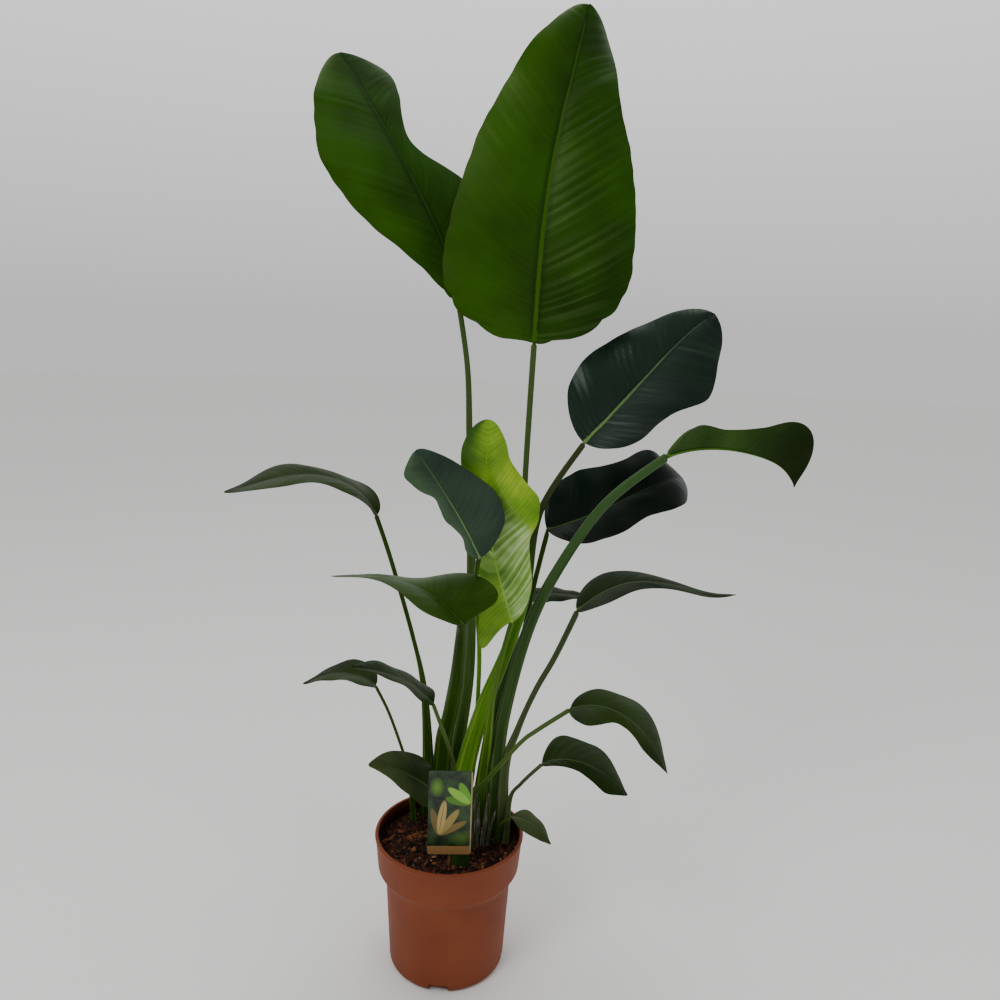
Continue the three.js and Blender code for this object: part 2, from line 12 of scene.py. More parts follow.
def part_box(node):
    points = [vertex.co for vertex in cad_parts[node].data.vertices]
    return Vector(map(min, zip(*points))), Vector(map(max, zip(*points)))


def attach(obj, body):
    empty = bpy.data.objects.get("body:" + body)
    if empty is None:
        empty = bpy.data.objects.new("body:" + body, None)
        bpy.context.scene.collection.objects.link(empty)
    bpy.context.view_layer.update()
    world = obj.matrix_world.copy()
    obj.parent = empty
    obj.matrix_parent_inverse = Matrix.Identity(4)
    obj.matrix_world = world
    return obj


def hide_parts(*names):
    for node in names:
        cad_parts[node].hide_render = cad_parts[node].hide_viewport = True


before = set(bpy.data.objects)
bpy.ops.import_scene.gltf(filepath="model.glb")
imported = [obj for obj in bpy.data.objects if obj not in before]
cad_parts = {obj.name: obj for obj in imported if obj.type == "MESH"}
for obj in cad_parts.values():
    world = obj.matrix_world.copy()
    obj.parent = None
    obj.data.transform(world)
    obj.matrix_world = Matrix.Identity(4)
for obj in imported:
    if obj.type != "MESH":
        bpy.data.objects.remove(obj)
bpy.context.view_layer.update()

MM = 0.001
TINY = 1e-6

# The camera that took the photograph, found from the pot's and the label's outlines.
CAMERA = {"place": (0, -1216, 1012), "yaw": 2.87, "pitch": 11.8, "roll": 2.12, "focal_px": 850}
PHOTO_PX = 1000
SENSOR = 36

POT = {
    "height": 220,
    "rim": 115.5,
    "collar_foot": (111.5, 166),
    "body_top": (99.2, 150),
    "base": 91.5,
    "corner": 10,
    "wall": 3,
    "lip": 1.6,
    "lip_turn": (-50, 185),  # where the rolled lip starts and how far it goes round, in degrees
    "outer_rounds": (7, 2.5),  # rounding outside at the body's top and the collar's foot
    "inner_rounds": (6, 5, 7),  # rounding inside at the collar's foot, the body's top and the base
    "turns": 144,
}
DRAIN_HOLES = {"count": 8, "radius": 5, "ring": 52}
DRAIN_SLOTS = {"count": 4, "width": 30, "height": 13, "depth": 24, "turned": -7, "rounding": 3}
# Wet peat that sticks to the pot's inside, also painting the shade inside the pot, between two heights and
# with a ragged upper edge.
PEAT_AND_SHADE = {"inside": 2.6, "above": 187, "top": (212, 222), "ragged": 12}
SOIL = {
    "z": 195,
    "dome": 3,
    "hole_depth": 15,
    "edge": 112,
    "gap": 0.3,  # between the soil and the pot's wall
    "rings": 70,
    "turns": 160,
    "swell_and_lumps": ((30, 5, 4), (9, 3.2, 8), (3.5, 1.6, 2)),  # size, height and seed of each
}
CANE = {"place": (0.6, -56), "foot": 150, "top": 230, "radius": 2.5, "flatness": 0.55, "point": 0.4,
        "bevel": 0.4}

# Shape of a leaf. neck is where the blade joins its stalk. heading (from +X towards +Y) and rise
# (up from level) are the midrib's direction in degrees, and roll turns the blade about it. left
# and right lift each half of the blade from flat, in degrees, and wide_left and wide_right are
# the halves' widths. Each list runs from the neck to the tip in even steps. ends are the shares
# of the length that the rounded base and tip take, lobe is how far each half reaches back past
# the neck, wave is the margin's ripple as height, count and phase, and crease folds one half
# over beyond a share of its width. stalk lists the stalk's centre line from the soil to the
# neck, and sheath is its width at the soil, its width at the neck and the share that tapers.
# clasp is the same for a sheath that clasps its neighbours. ribs are how strongly each half is
# ribbed and vein_gap their spacing, rib is the midrib's width as a share of the neck's, ruffle
# and curl are the ruffles' depth at the base and the margins' curl at the tip in degrees, blunt
# is how square both ends are, and dusk is how much painted shade darkens the tip.
LEAF_DEFAULTS = {
    "roll": [0], "left": [5, 0, 0, 0, 0], "right": [5, 0, 0, 0, 0],
    "ends": [0.3, 0.25], "lobe": [0, 0], "wave": [1, 3, 0.1], "crease": None,
    "clasp": None, "blunt": 2, "rib": 0.62, "ribs": (0.5, 0.5), "vein_gap": 17,
    "ruffle": 0, "curl": 0, "dusk": 0, "slots": ("leaf_dark", "stalk_dark"),
}
LEAVES = {}


def grow(name, **shape):
    """Adds a leaf's shape to the table."""
    LEAVES[name] = {**LEAF_DEFAULTS, **shape}


grow("tall_right", neck=[106, 60, 985], length=494, heading=[60, 56, 46, 40, 60],
    rise=[88, 84, 78, 74, 70], roll=[-27, -29, -36, -46, -54], left=[14, 8, 4, 0, -4],
    right=[14, 8, 2, 0, -4], wide_left=[150, 143, 130, 110, 78, 44],
    wide_right=[134, 134, 134, 134, 130, 120, 105, 84, 66, 60, 60], ends=[0.25, 0.22], lobe=[0.01, 0.01],
    wave=[3, 4, 0.1], stalk=[[44, 86, 195], [63, 82, 297], [77, 82, 405], [96, 80, 510], [101, 72, 647],
    [102, 64, 808]], sheath=[22, 9, 0.7], blunt=2.3, rib=1.5, ribs=(0.7, 1.4), ruffle=6, curl=6,
    looks=("bright", "soft"), slots=("leaf_mid_green", "stalk_dark"))
grow("tall_left", neck=[-8, 110, 1042], length=434, heading=[150], rise=[77, 61, 57, 53, 54],
    roll=[40, 40, 35, 30, 20], left=[10, 6, 2, 0, -4], right=[10, 6, 2, 0, -4],
    wide_left=[34, 66, 110, 126, 94, 50], wide_right=[60, 78, 76, 28, 60, 100], ends=[0.3, 0.18],
    lobe=[0.02, 0.02], wave=[0, 3, 0.3], stalk=[[0, 90, 195], [6, 88, 282], [24, 94, 437], [25, 98, 571],
    [21, 102, 700], [15, 106, 830], [9, 108, 940]], sheath=[22, 9, 0.5], clasp=[27, 8.5, 0.9], blunt=2.3,
    rib=0.8, ribs=(0.7, 0.9), ruffle=5, curl=6, looks=("calm", "soft"),
    slots=("leaf_mid_green", "stalk_dark"))
grow("upper_right", neck=[183, 20, 843], length=284, heading=[19], rise=[44, 45, 46, 42, 32], roll=[-51],
    left=[14, 8, 4, 0, -4], right=[14, 8, 4, 0, -4], wide_left=[66, 80, 86, 69, 50, 44],
    wide_right=[56, 62, 67, 92, 68, 64], ends=[0.25, 0.3], lobe=[0.02, 0.02], wave=[2, 4, 0.1],
    stalk=[[2, 50, 195], [25, 42, 315], [49, 36, 415], [82, 36, 509], [108, 36, 601], [123, 26, 735]],
    sheath=[24, 8, 0.7], clasp=[38, 9, 0.95], rib=1.05, ribs=(1.6, 1.2), vein_gap=11,
    looks=("dark", "lime"), slots=("leaf_dark", "stalk_light"))
grow("mid_right", neck=[139, 60, 700], length=258, heading=[10, 10, 10, 20, 60],
    rise=[16, 20, 26, 18, -10], roll=[-46], left=[14, 8, 4, 0, -4], right=[14, 8, 4, 0, -4],
    wide_left=[64, 72, 76, 62, 66, 60], wide_right=[40, 48, 50, 44, 52, 50], ends=[0.25, 0.3],
    lobe=[0.02, 0.02], wave=[2, 4, 0.1], stalk=[[70, 60, 195], [75, 58, 310], [97, 58, 451],
    [121, 60, 602]], sheath=[20, 8, 0.5], vein_gap=11, looks=("painted_shade", "dark"))
# far_right's tip is darkened by painted shade.
grow("far_right", neck=[293, -40, 836], length=200, heading=[-6], rise=[22, 6, -8, -24, -66], roll=[-5],
    left=[40, 50, 50, 40, 30], right=[50, 70, 76, 74, 60], wide_left=[20, 34, 30, 36, 60, 10],
    wide_right=[12, 40, 30, 42, 70, 10], ends=[0.25, 0.3], wave=[0, 2, 0.1], stalk=[[72, 36, 195],
    [73, 30, 320], [83, 22, 422], [111, 0, 559], [150, -18, 661], [212, -32, 764]], sheath=[20, 11, 1.1],
    clasp=[27, 12, 1.1], dusk=0.85, looks=("grass", "blue"), slots=("leaf_underside", "stalk_dark"))
grow("right_arching", neck=[181, -20, 597], length=246, heading=[-5], rise=[45, 27, -2, -13, 8],
    roll=[-4], left=[15, 10, 0, 0, 0], wide_left=[50, 50, 38, 22, 12, 6],
    wide_right=[40, 46, 30, 20, 12, 6], ends=[0.3, 0.2], wave=[0, 2, 0.1], stalk=[[86, 14, 195],
    [84, 10, 318], [102, 2, 394], [126, -6, 463], [152, -14, 521]], sheath=[20, 9, 0.5],
    looks=("dim", "grey"))
grow("low_right", neck=[170, -80, 468], length=184, heading=[-22], rise=[30, 0, -30, -52, -66],
    roll=[-5], left=[15, 5, 0, -5, -5], right=[0, -5, -10, -10, -10],
    wide_left=[42, 40, 42, 42, 47, 53, 52, 45, 34, 22, 12],
    wide_right=[46, 52, 52, 38, 22, 20, 22, 24, 20, 14, 8], wave=[1, 2, 0.1], stalk=[[34, 32, 195],
    [39, 20, 271], [58, 0, 310], [102, -36, 389], [125, -52, 419]], sheath=[18, 7, 0.5],
    looks=("low", "soft"))
grow("lower_right", neck=[138, -40, 359], length=145, heading=[-22], rise=[35, 10, -12, -30, -45],
    roll=[-4], left=[15, 5, 0, -5, -5], right=[0, -5, -10, -10, -10],
    wide_left=[58, 58, 56, 54, 54, 54, 50, 42, 30, 20, 10], wide_right=[22, 16, 16, 24, 28, 14],
    ends=[0.2, 0.25], wave=[1, 2, 0.1], stalk=[[90, 0, 195], [94, 4, 270], [110, -14, 311]],
    sheath=[12, 6, 0.5], looks=("low", "grey"))
grow("lowest_right", neck=[96, -10, 250], length=80, heading=[-34], rise=[20, 0, -15, -35, -45],
    left=[10, 5, 0, -5, -5], right=[0, -5, -10, -10, -10], wide_left=[22, 24, 22, 18, 11, 5],
    wide_right=[8, 14, 20, 20, 12, 5], wave=[1, 2, 0.1], stalk=[[70, 6, 195], [80, -10, 236]],
    sheath=[8, 5, 0.5], looks=("foot", "dark"))
grow("far_left", neck=[-123, 40, 721], length=248, heading=[185], rise=[64, 30, 0, -16, -14], roll=[2],
    left=[0, -4, -4, -4, 0], right=[30, 2, 8, 16, 10], wide_left=[30, 36, 42, 48, 40, 16],
    wide_right=[40, 50, 30, 44, 32, 12], stalk=[[-38, 80, 195], [-38, 76, 290], [-47, 68, 427],
    [-66, 60, 521], [-101, 54, 647]], sheath=[26, 7, 0.55], looks=("low", "dark"))
grow("mid_left", neck=[11, -104, 603], length=217, heading=[160], rise=[46, 28, 10, -8, -6],
    left=[4, -4, 4, 12, 12], right=[64, 50, -6, -8, -4], wide_left=[41, 48, 43, 29, 22, 14],
    wide_right=[78, 72, 54, 35, 24, 13], ends=[0.3, 0.2], lobe=[0, 0.28], wave=[0, 3, 0.1],
    stalk=[[-18, 64, 195], [-13, 56, 337], [-4, 34, 400], [5, -10, 487], [9, -62, 562]],
    sheath=[26, 10, 1.1], clasp=[34, 14, 1.1], looks=("olive", "dark"),
    slots=("leaf_underside", "stalk_dark"))
grow("low_left", neck=[-122, 40, 446], length=120, heading=[185], rise=[42, 22, 0, -18, -30], roll=[-2],
    left=[0, 0, 0, 0, 0], right=[20, 15, 10, 0, 0], wide_left=[30, 34, 32, 26, 18, 8],
    wide_right=[40, 42, 38, 30, 16, 8], lobe=[0.05, 0.05], stalk=[[-58, 62, 195], [-67, 62, 279],
    [-81, 58, 330], [-102, 50, 396]], sheath=[12, 5, 0.4], looks=("low", "dark"))
grow("low_left_inner", neck=[-29, -50, 460], length=138, heading=[190], rise=[50, 40, 26, 16, 8],
    left=[-6, 0, 8, 10, 10], right=[16, 0, -4, 2, 4], wide_left=[30, 38, 32, 26, 18, 8],
    wide_right=[48, 48, 44, 38, 28, 12], lobe=[0, 0.2], stalk=[[4, 26, 195], [6, 8, 310],
    [-4, -18, 371]], sheath=[14, 6, 0.5], looks=("low", "soft"))
grow("lowest_left", neck=[-17, 30, 263], length=152, heading=[209], rise=[45, 42, 38, 30, 10], roll=[34],
    wide_left=[30, 40, 40, 32, 20, 8], wide_right=[46, 50, 46, 38, 24, 10], stalk=[[-16, 30, 195],
    [-12, 31, 228]], sheath=[12, 7, 0.5], looks=("foot", "dark"))
grow("young", neck=[83, -40, 585], length=300, heading=[180], rise=[72, 74, 82, 88, 92], roll=[90],
    wide_left=[60, 54, 28, 26, 36, 30], wide_right=[34, 40, 46, 50, 56, 75, 80, 60, 39, 30, 24],
    ends=[0.2, 0.15], lobe=[0.43, 0], wave=[0, 3, 0.1], stalk=[[44, 56, 195], [51, 42, 287],
    [56, 14, 371], [60, -8, 450], [70, -26, 522]], sheath=[16, 7, 0.7], clasp=[28, 7, 0.8],
    crease={"side": 1, "at": [1, 1, 1, 1, 1, 0.7, 0.42, 0.3, 0.2, 0.2, 0.2],
            "turn": [0, 0, -20, -30, -30, -20]},
    looks=("young", "mid"), slots=("leaf_young", "stalk_light"))
grow("centre", neck=[31, -90, 694], length=172, heading=[172, 168, 162, 158, 156],
    rise=[66, 60, 55, 52, 50], roll=[60], wide_left=[16, 16, 10, 13, 19, 17, 15, 26, 32, 39, 30],
    wide_right=[36, 58, 62, 48, 32, 22], ends=[0.2, 0.25], stalk=[[22, 80, 195], [37, 72, 320],
    [40, 60, 414], [38, 6, 524], [29, -42, 640]], sheath=[16, 7, 0.4], looks=("grey", "lime"),
    slots=("leaf_dark", "stalk_light"))
grow("back", neck=[112, 110, 572], length=110, heading=[0], rise=[20, 4, -4, -10], left=[5, 5, 5, 0, 0],
    right=[-10, -10, -10, -5, 0], wide_left=[26, 30, 28, 24, 18, 8], wide_right=[26, 30, 28, 24, 18, 8],
    stalk=[[60, 78, 195], [80, 92, 310], [92, 98, 398], [100, 104, 484]], sheath=[10, 5, 0.4],
    looks=("dim", "grey"))

SWEEP = {"root": 1.2, "spread": 1.4, "lobe": 6.6, "fade": 4}
MIDRIB_STEPS = 60
BLADE = {
    "thickness": 0.8,
    "row": 2.4,  # mean distance between rows of the mesh
    "column": 4.5,  # distance between its columns where a half is widest
    "ease": 0.94,  # how much closer the rows lie at both ends
    "arch": 0.05,  # how far a half bulges, as a share of its width
    "slant": 0.5,  # how much more the side veins lean forward than the rows do
    "slope": 0.05,  # slope of the ribs between the stronger side veins
    "rib_stretches": (70, 0.6),  # size of the ribs' stronger and weaker stretches, mean strength
    "rib_drift": 40,  # size of the stretches over which the ribs lie closer or wider
    "folds": (34, 1.4),  # size and height of the broader folds along the veins
    "buckle": (80, 2.2),  # size and height of the blade's slow bends
    "edge": (24, 0.018),  # size of the margin's uneven stretches and their share of the width
    "ruffles": (14, 0.14),  # ruffles per radian round the base and the share that they fade over
    "curl_from": 0.68,  # the share of the length from where the margins curl back
}
# A blade's marks. The first is the share of the length from where a curled tip takes a pale
# painted sheen, and how strong it is. The others are how steeply they grow, after a share of the
# length: painted shade darkening the tip from there on, a creased leaf's flap, its lobe up to
# there and its upper left half from there on. across is how strong that last one is at the
# midrib, and how much more at the right margin.
MARKS = {"tip_sheen": (0.84, 0.8), "dusk": (0.5, 3), "flap": 8, "lobe": (0.38, 12), "upper": (0.62, 6),
         "across": (0.75, 0.6)}
# The midrib's ridge: its mesh, its width at the tip and how it narrows, its height above the
# face, its groove, its keel's depth, the share of the length over which it takes on the stalk's
# shape, and where it starts and how far it reaches along the blade.
RIB = {"sides": 20, "rows": 60, "tip": 0.2, "narrowing": 1.2, "proud": 0.25, "groove": 0.4,
       "groove_width": 0.3, "keel": 3.2, "join": 0.05, "start": -0.012, "reach": 0.97}
STALK = {"sides": 28, "row": 9, "taper": 1.4, "flatness": (0.62, 0.8), "groove": 0.34,
         "groove_width": 32, "flare": 1.22, "into_blade": 1.5, "turn_over": 0.05}
SMOOTH_ANGLE = 50
WAX_TINT = "c4e094"
GREY_TINT = "c8d8cc"


def linear(code):
    """The linear colour of an sRGB hex code."""
    values = [int(code[i:i + 2], 16) / 255 for i in (0, 2, 4)]
    return [v / 12.92 if v <= 0.04045 else ((v + 0.055) / 1.055) ** 2.4 for v in values] + [1]


def fill(made, inputs):
    """Sets a node's inputs, listed from the first or by name. Each takes a number, a hex colour,
    a socket or a node's first output."""
    for key, value in inputs.items() if isinstance(inputs, dict) else enumerate(inputs):
        if isinstance(value, bpy.types.Node):
            value = value.outputs[0]
        if isinstance(value, bpy.types.NodeSocket):
            made.id_data.links.new(value, made.inputs[key])
        else:
            made.inputs[key].default_value = linear(value) if isinstance(value, str) else value


def node(tree, kind, inputs=(), stops=None, **settings):
    """Adds a shader node with its settings, its inputs and a colour ramp's stops."""
    made = tree.nodes.new("ShaderNode" + kind)
    for key, value in settings.items():
        setattr(made, key, value)
    fill(made, inputs)
    if stops:
        elements = made.color_ramp.elements
        while len(elements) < len(stops):
            elements.new(0.5)
        for element, (place, code) in zip(elements, stops):
            element.position = place
            element.color = linear(code)
    return made


def new_material(name):
    """An empty material, what adds a node to it, and its shader."""
    material = bpy.data.materials.new(name)
    material.use_nodes = True
    tree = material.node_tree
    return material, partial(node, tree), tree.nodes["Principled BSDF"]


def surface(add, shader, colour, relief, depth, roughness, gloss=0.5, tint="ffffff"):
    """Gives a shader its colour, its relief of a depth in millimetres, its roughness, and its
    gloss with the gloss's tint."""
    bump = add("Bump", {"Height": relief, "Distance": depth * MM})
    fill(shader, {"Base Color": colour, "Normal": bump, "Roughness": roughness,
                  "Specular IOR Level": gloss, "Specular Tint": tint})


def leaf_skin(name, shade, light, painted_sun_colour, rib_shade_colour, roughness, gloss, tint, veining=0.28):
    """Leaf skin under its natural wax: soft patches, fine side veins about 5 mm apart, painted
    sunlight on the left half, painted shade in a band beside the midrib, a painted sheen on a
    curled tip, painted shade darkening a tip, and a thin brown margin."""
    material, add, shader = new_material(name)
    uv = add("SeparateXYZ", [add("UVMap", uv_map="blade")])
    share = add("Math", [uv.outputs[0]], operation="ABSOLUTE")
    place = add("TexCoord").outputs["Object"]
    line = add("CombineXYZ", [share, uv.outputs[1]])
    line = add("Mapping", {0: line, "Scale": (0.9, 200, 1)})
    veins = add("TexNoise", {"Vector": line, "Scale": 1, "Detail": 3, "Roughness": 0.6})
    patches = add("TexNoise", {"Vector": place, "Scale": 9, "Detail": 3})
    tone = add("MixRGB", [veining, patches, veins])
    skin = add("ValToRGB", [tone], [(0.36, shade), (0.64, light)])
    # Painted sunlight: the left half is mixed towards a lighter colour, in patches.
    painted_sun = add("MapRange", [uv.outputs[0], -0.75, 0, 0.85, 0])
    painted_sun = add("Math", [painted_sun, patches], operation="MULTIPLY")
    # Painted shade: a darker band on both sides of the midrib's ridge.
    rib_shade = add("MapRange", [share, 0.05, 0.09, 0.6, 0])
    margin = add("MapRange", [share, 0.98, 1, 0, 0.5])
    # Painted sheen on a curled tip's margins and painted shade darkening a tip, both from the blade's marks.
    tip_sheen, dusk = (add("Attribute", attribute_name=key).outputs["Fac"] for key in ("tip_sheen", "dusk"))
    for amount, code in ((painted_sun, painted_sun_colour), (rib_shade, rib_shade_colour), (tip_sheen, "6c7c5c"), (dusk, "040a02"),
                         (margin, "3a3418")):
        skin = add("MixRGB", [amount, skin, code])
    rough = add("MapRange", [tone, 0.35, 0.65, roughness + 0.06, roughness - 0.06])
    surface(add, shader, skin, veins, 0.25, rough, gloss, tint)
    return material


def midrib_skin(name, rib, leaf):
    """The midrib's smooth ridge: its own green by the stalk and almost the leaf's at the tip."""
    material, add, shader = new_material(name)
    uv = add("UVMap", uv_map="blade")
    stretch = add("Mapping", {0: uv, "Scale": (20, 6, 1)})
    fibres = add("TexNoise", {"Vector": stretch, "Scale": 1, "Detail": 4})
    drift = add("Math", [fibres, 0.5], operation="SUBTRACT")
    along = add("Math", [add("SeparateXYZ", [uv]).outputs[1], drift], operation="ADD")
    skin = add("ValToRGB", [along], [(0.1, rib), (0.85, leaf)])
    surface(add, shader, skin, fibres, 0.2, 0.45, 0.2, WAX_TINT)
    return material


def young_skin():
    """Tender skin of the unrolling leaf: inside, pale between strong side veins about 8 mm apart
    with painted highlights, and darker towards the tip with painted shade inside the roll, vivid
    yellow-green with fine lines on the flap and the lower lobe, and painted shade at the upper
    left margin."""
    material, add, shader = new_material("tender_young_leaf")
    across, along, _ = add("SeparateXYZ", [add("UVMap", uv_map="blade")]).outputs
    place = add("TexCoord").outputs["Object"]
    line = add("CombineXYZ", [0, along])
    veins = add("TexNoise", {"Vector": line, "Scale": 125, "Detail": 3})
    fine = add("TexNoise", {"Vector": line, "Scale": 420, "Detail": 3})
    patches = add("TexNoise", {"Vector": place, "Scale": 16, "Detail": 3})
    inner = add("MixRGB", [0.5, veins, patches])
    # The lower inside: its palest stop is a painted highlight on the stripes between the veins.
    low = add("ValToRGB", [inner], [(0.38, "44701a"), (0.5, "76a03c"), (0.62, "c0d898")])
    # The upper inside: darker, with painted shade inside the rolled leaf.
    high = add("ValToRGB", [inner], [(0.38, "2c5204"), (0.52, "466e0c"), (0.66, "74962a")])
    inner = add("MixRGB", [add("MapRange", [along, 0.12, 0.19]), low, high])
    outer = add("MixRGB", [0.6, fine, patches])
    outer = add("ValToRGB", [outer], [(0.36, "4c7a04"), (0.5, "74a00a"), (0.64, "a4c424")])
    flap = add("Attribute", attribute_name="flap").outputs["Fac"]
    skin = add("MixRGB", [flap, inner, outer])
    # Painted shade at the upper left margin, inside the roll.
    left = add("MapRange", [across, -0.8, -0.3, 0.85, 0])
    high_up = add("MapRange", [along, 0.2, 0.27])
    corner = add("Math", [left, high_up], operation="MULTIPLY")
    skin = add("MixRGB", [corner, skin, "1c4404"])
    surface(add, shader, skin, veins, 0.8, 0.4, 0.3)
    return material


def petiole_skin(name, low, high, sheath, edge, upper):
    """Smooth waxy stalk skin: fine fibres along it, a paler sheath at its foot, pale thin edges
    to the sheath's channel, and the upper stalk's own tone from half a metre up."""
    material, add, shader = new_material(name)
    uv = add("UVMap", uv_map="stalk")
    stretch = add("Mapping", {0: uv, "Scale": (26, 9, 1)})
    fibres = add("TexNoise", {"Vector": stretch, "Scale": 1, "Detail": 5})
    skin = add("ValToRGB", [fibres], [(0.32, low), (0.68, high)])
    lip, along, _ = add("SeparateXYZ", [uv]).outputs
    for middle in (0.25, 0.11):
        lip = add("Math", [lip, middle], operation="SUBTRACT")
        lip = add("Math", [lip], operation="ABSOLUTE")
    lip = add("MapRange", [lip, 0, 0.03, 0.55, 0])
    low_down = add("MapRange", [along, 0.1, 0.4, 1, 0.1])
    for mask, code in ((fibres, sheath), (lip, edge)):
        amount = add("Math", [low_down, mask], operation="MULTIPLY")
        skin = add("MixRGB", [amount, skin, code])
    high_up = add("MapRange", [along, 0.42, 0.55])
    skin = add("MixRGB", [high_up, skin, upper])
    surface(add, shader, skin, fibres, 0.3, 0.42, 0.25, WAX_TINT)
    return material


def moulded_plastic():
    """Matt terracotta-coloured polypropylene: a fine mould grain, faint handling blotches, and
    dark wet peat that sticks to the inside above the soil, partly a real stain and partly painted
    shade inside the pot."""
    material, add, shader = new_material("moulded_terracotta_polypropylene")
    place = add("TexCoord").outputs["Object"]
    blotch = add("TexNoise", {"Vector": place, "Scale": 12, "Detail": 5})
    grain = add("TexNoise", {"Vector": place, "Scale": 900, "Detail": 2})
    skin = add("ValToRGB", [blotch], [(0.3, "75361d"), (0.7, "834225")])
    x, y, z = add("SeparateXYZ", [place]).outputs
    radius = add("VectorMath", [add("CombineXYZ", [x, y])], operation="LENGTH").outputs["Value"]
    # Dark peat inside above the soil: partly a real stain, partly painted shade in the pot's hollow.
    inside = add("Math", [radius, (POT["rim"] - PEAT_AND_SHADE["inside"]) * MM], operation="LESS_THAN")
    above = add("Math", [z, PEAT_AND_SHADE["above"] * MM], operation="GREATER_THAN")
    ragged = add("Math", [blotch, PEAT_AND_SHADE["ragged"] * MM, z], operation="MULTIPLY_ADD")
    low, high = PEAT_AND_SHADE["top"]
    peat = add("MapRange", [ragged, low * MM, high * MM, 0.9, 0])
    for mask in (inside, above):
        peat = add("Math", [peat, mask], operation="MULTIPLY")
    skin = add("MixRGB", [peat, skin, "1c0e08"])
    rough = add("MapRange", {"Value": blotch, "To Min": 0.52, "To Max": 0.68})
    surface(add, shader, skin, grain, 0.06, rough, 0.2)
    return material


def grained(name, stretch, detail, stops, depth, *finish):
    """A material with one noise for its tones and its relief. stretch is how often it repeats in
    a metre, along each axis."""
    material, add, shader = new_material(name)
    place = add("Mapping", {0: add("TexCoord").outputs["Object"], "Scale": stretch})
    grain = add("TexNoise", {"Vector": place, "Scale": 1, "Detail": detail})
    surface(add, shader, add("ValToRGB", [grain], stops), grain, depth, *finish)
    return material


def potting_mix():
    """Damp peat and composted bark: near black and rough, with red-brown fibres."""
    tones = [(0.4, "120806"), (0.55, "2e1a10"), (0.7, "55301f")]
    return grained("damp_potting_mix", (140, 140, 140), 8, tones, 2, 0.9, 0.2)


def dried_sheath():
    """Dead leaf sheath: papery silver-brown fibre with dark streaks."""
    tones = [(0.34, "24281c"), (0.5, "484c3a"), (0.66, "868672")]
    return grained("dried_sheath_fibre", (500, 500, 30), 4, tones, 0.6, 0.7)


def stake_plastic():
    """Injection-moulded dark green polystyrene: satin, with dust in its fine scratches."""
    tones = [(0.35, "16290c"), (0.7, "2c4618")]
    return grained("moulded_green_polystyrene", (80, 80, 80), 4, tones, 0.05, 0.45)


def split_cane():
    """Split bamboo cane: pale tan with darker fibres along it."""
    tones = [(0.35, "5c4020"), (0.65, "8c6c40")]
    return grained("split_bamboo_cane", (900, 900, 30), 3, tones, 0.2, 0.6)


def broken_bark(name, tones):
    """Broken bark and peat: rough, each crumb with a tone of its own."""
    material, add, shader = new_material(name)
    tone = add("Attribute", attribute_name="tone").outputs["Fac"]
    place = add("TexCoord").outputs["Object"]
    grain = add("TexNoise", {"Vector": place, "Scale": 500, "Detail": 3})
    skin = add("ValToRGB", [add("MixRGB", [0.15, tone, grain])], tones)
    surface(add, shader, skin, grain, 0.8, 0.85, 0.2)
    return material


# The card's print, in millimetres from the middle of its lower edge: soft ellipses, each with its
# middle, half axes, turn in degrees, edge softness and colour, and then plain strips, each with
# the side of its edge that it is on, along one axis.
CARD_MOTIFS = [
    ((14, 66), (26, 12), 10, 0.9, "2c4a1e"),
    ((18, 28), (20, 13), 0, 0.9, "4a6a24"),
    ((-20, 112), (12, 18), 0, 0.9, "5c8a20"),
    ((11, 89), (7, 20), -76, 0.15, "4c7c1c"),
    ((22, 102), (7, 20), -24, 0.15, "5f9a22"),
    ((13, 98), (7, 22), -52, 0.15, "86bc3c"),
    ((-22, 55), (6, 24), -14, 0.15, "6e5a2c"),
    ((5, 44), (6, 24), 60, 0.15, "7a6632"),
    ((-1, 54), (6.5, 27), 34, 0.15, "9a8448"),
    ((-12, 62), (6.5, 30), 8, 0.15, "b39a5c"),
    ((-12, 62), (0.7, 28), 8, 0.3, "6e5a2c"),
]
CARD_STRIPS = [("Z", "LESS_THAN", 14, "9a7446"), ("X", "GREATER_THAN", 31, "a08d62")]


def printed_card():
    """Offset print on a thin polystyrene card: lime and tan leaves on dark green, a tan strip at
    the foot and a pale trimmed edge, under a satin varnish."""
    material, add, shader = new_material("printed_polystyrene_card")
    place = add("TexCoord").outputs["Object"]
    parts = add("SeparateXYZ", [place])
    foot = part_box("label_card")[0][2]
    blur = add("TexNoise", {"Vector": place, "Scale": 70, "Detail": 5})
    skin = add("ValToRGB", [blur], [(0.38, "101a0c"), (0.62, "2a4422")])
    for (x, z), (wide, tall), turn, soft, code in CARD_MOTIFS:
        middle, size = (x * MM, 0, foot + z * MM), (wide * MM, 1, tall * MM)
        moved = add("Mapping", [place, middle, (0, math.radians(turn), 0), size], vector_type="TEXTURE")
        oval = add("TexGradient", [moved], gradient_type="SPHERICAL")
        skin = add("MixRGB", [add("MapRange", [oval, 0, soft]), skin, code])
    for axis, side, edge, code in CARD_STRIPS:
        start = foot if axis == "Z" else 0
        mask = add("Math", [parts.outputs[axis], start + edge * MM], operation=side)
        skin = add("MixRGB", [mask, skin, code])
    surface(add, shader, skin, blur, 0.02, 0.38, 0.4)
    return material


def studio_floor():
    """Matt pale studio floor."""
    material, _, shader = new_material("matt_studio_floor")
    fill(shader, {"Base Color": "fafaf8", "Roughness": 0.9, "Specular IOR Level": 0.1})
    return material


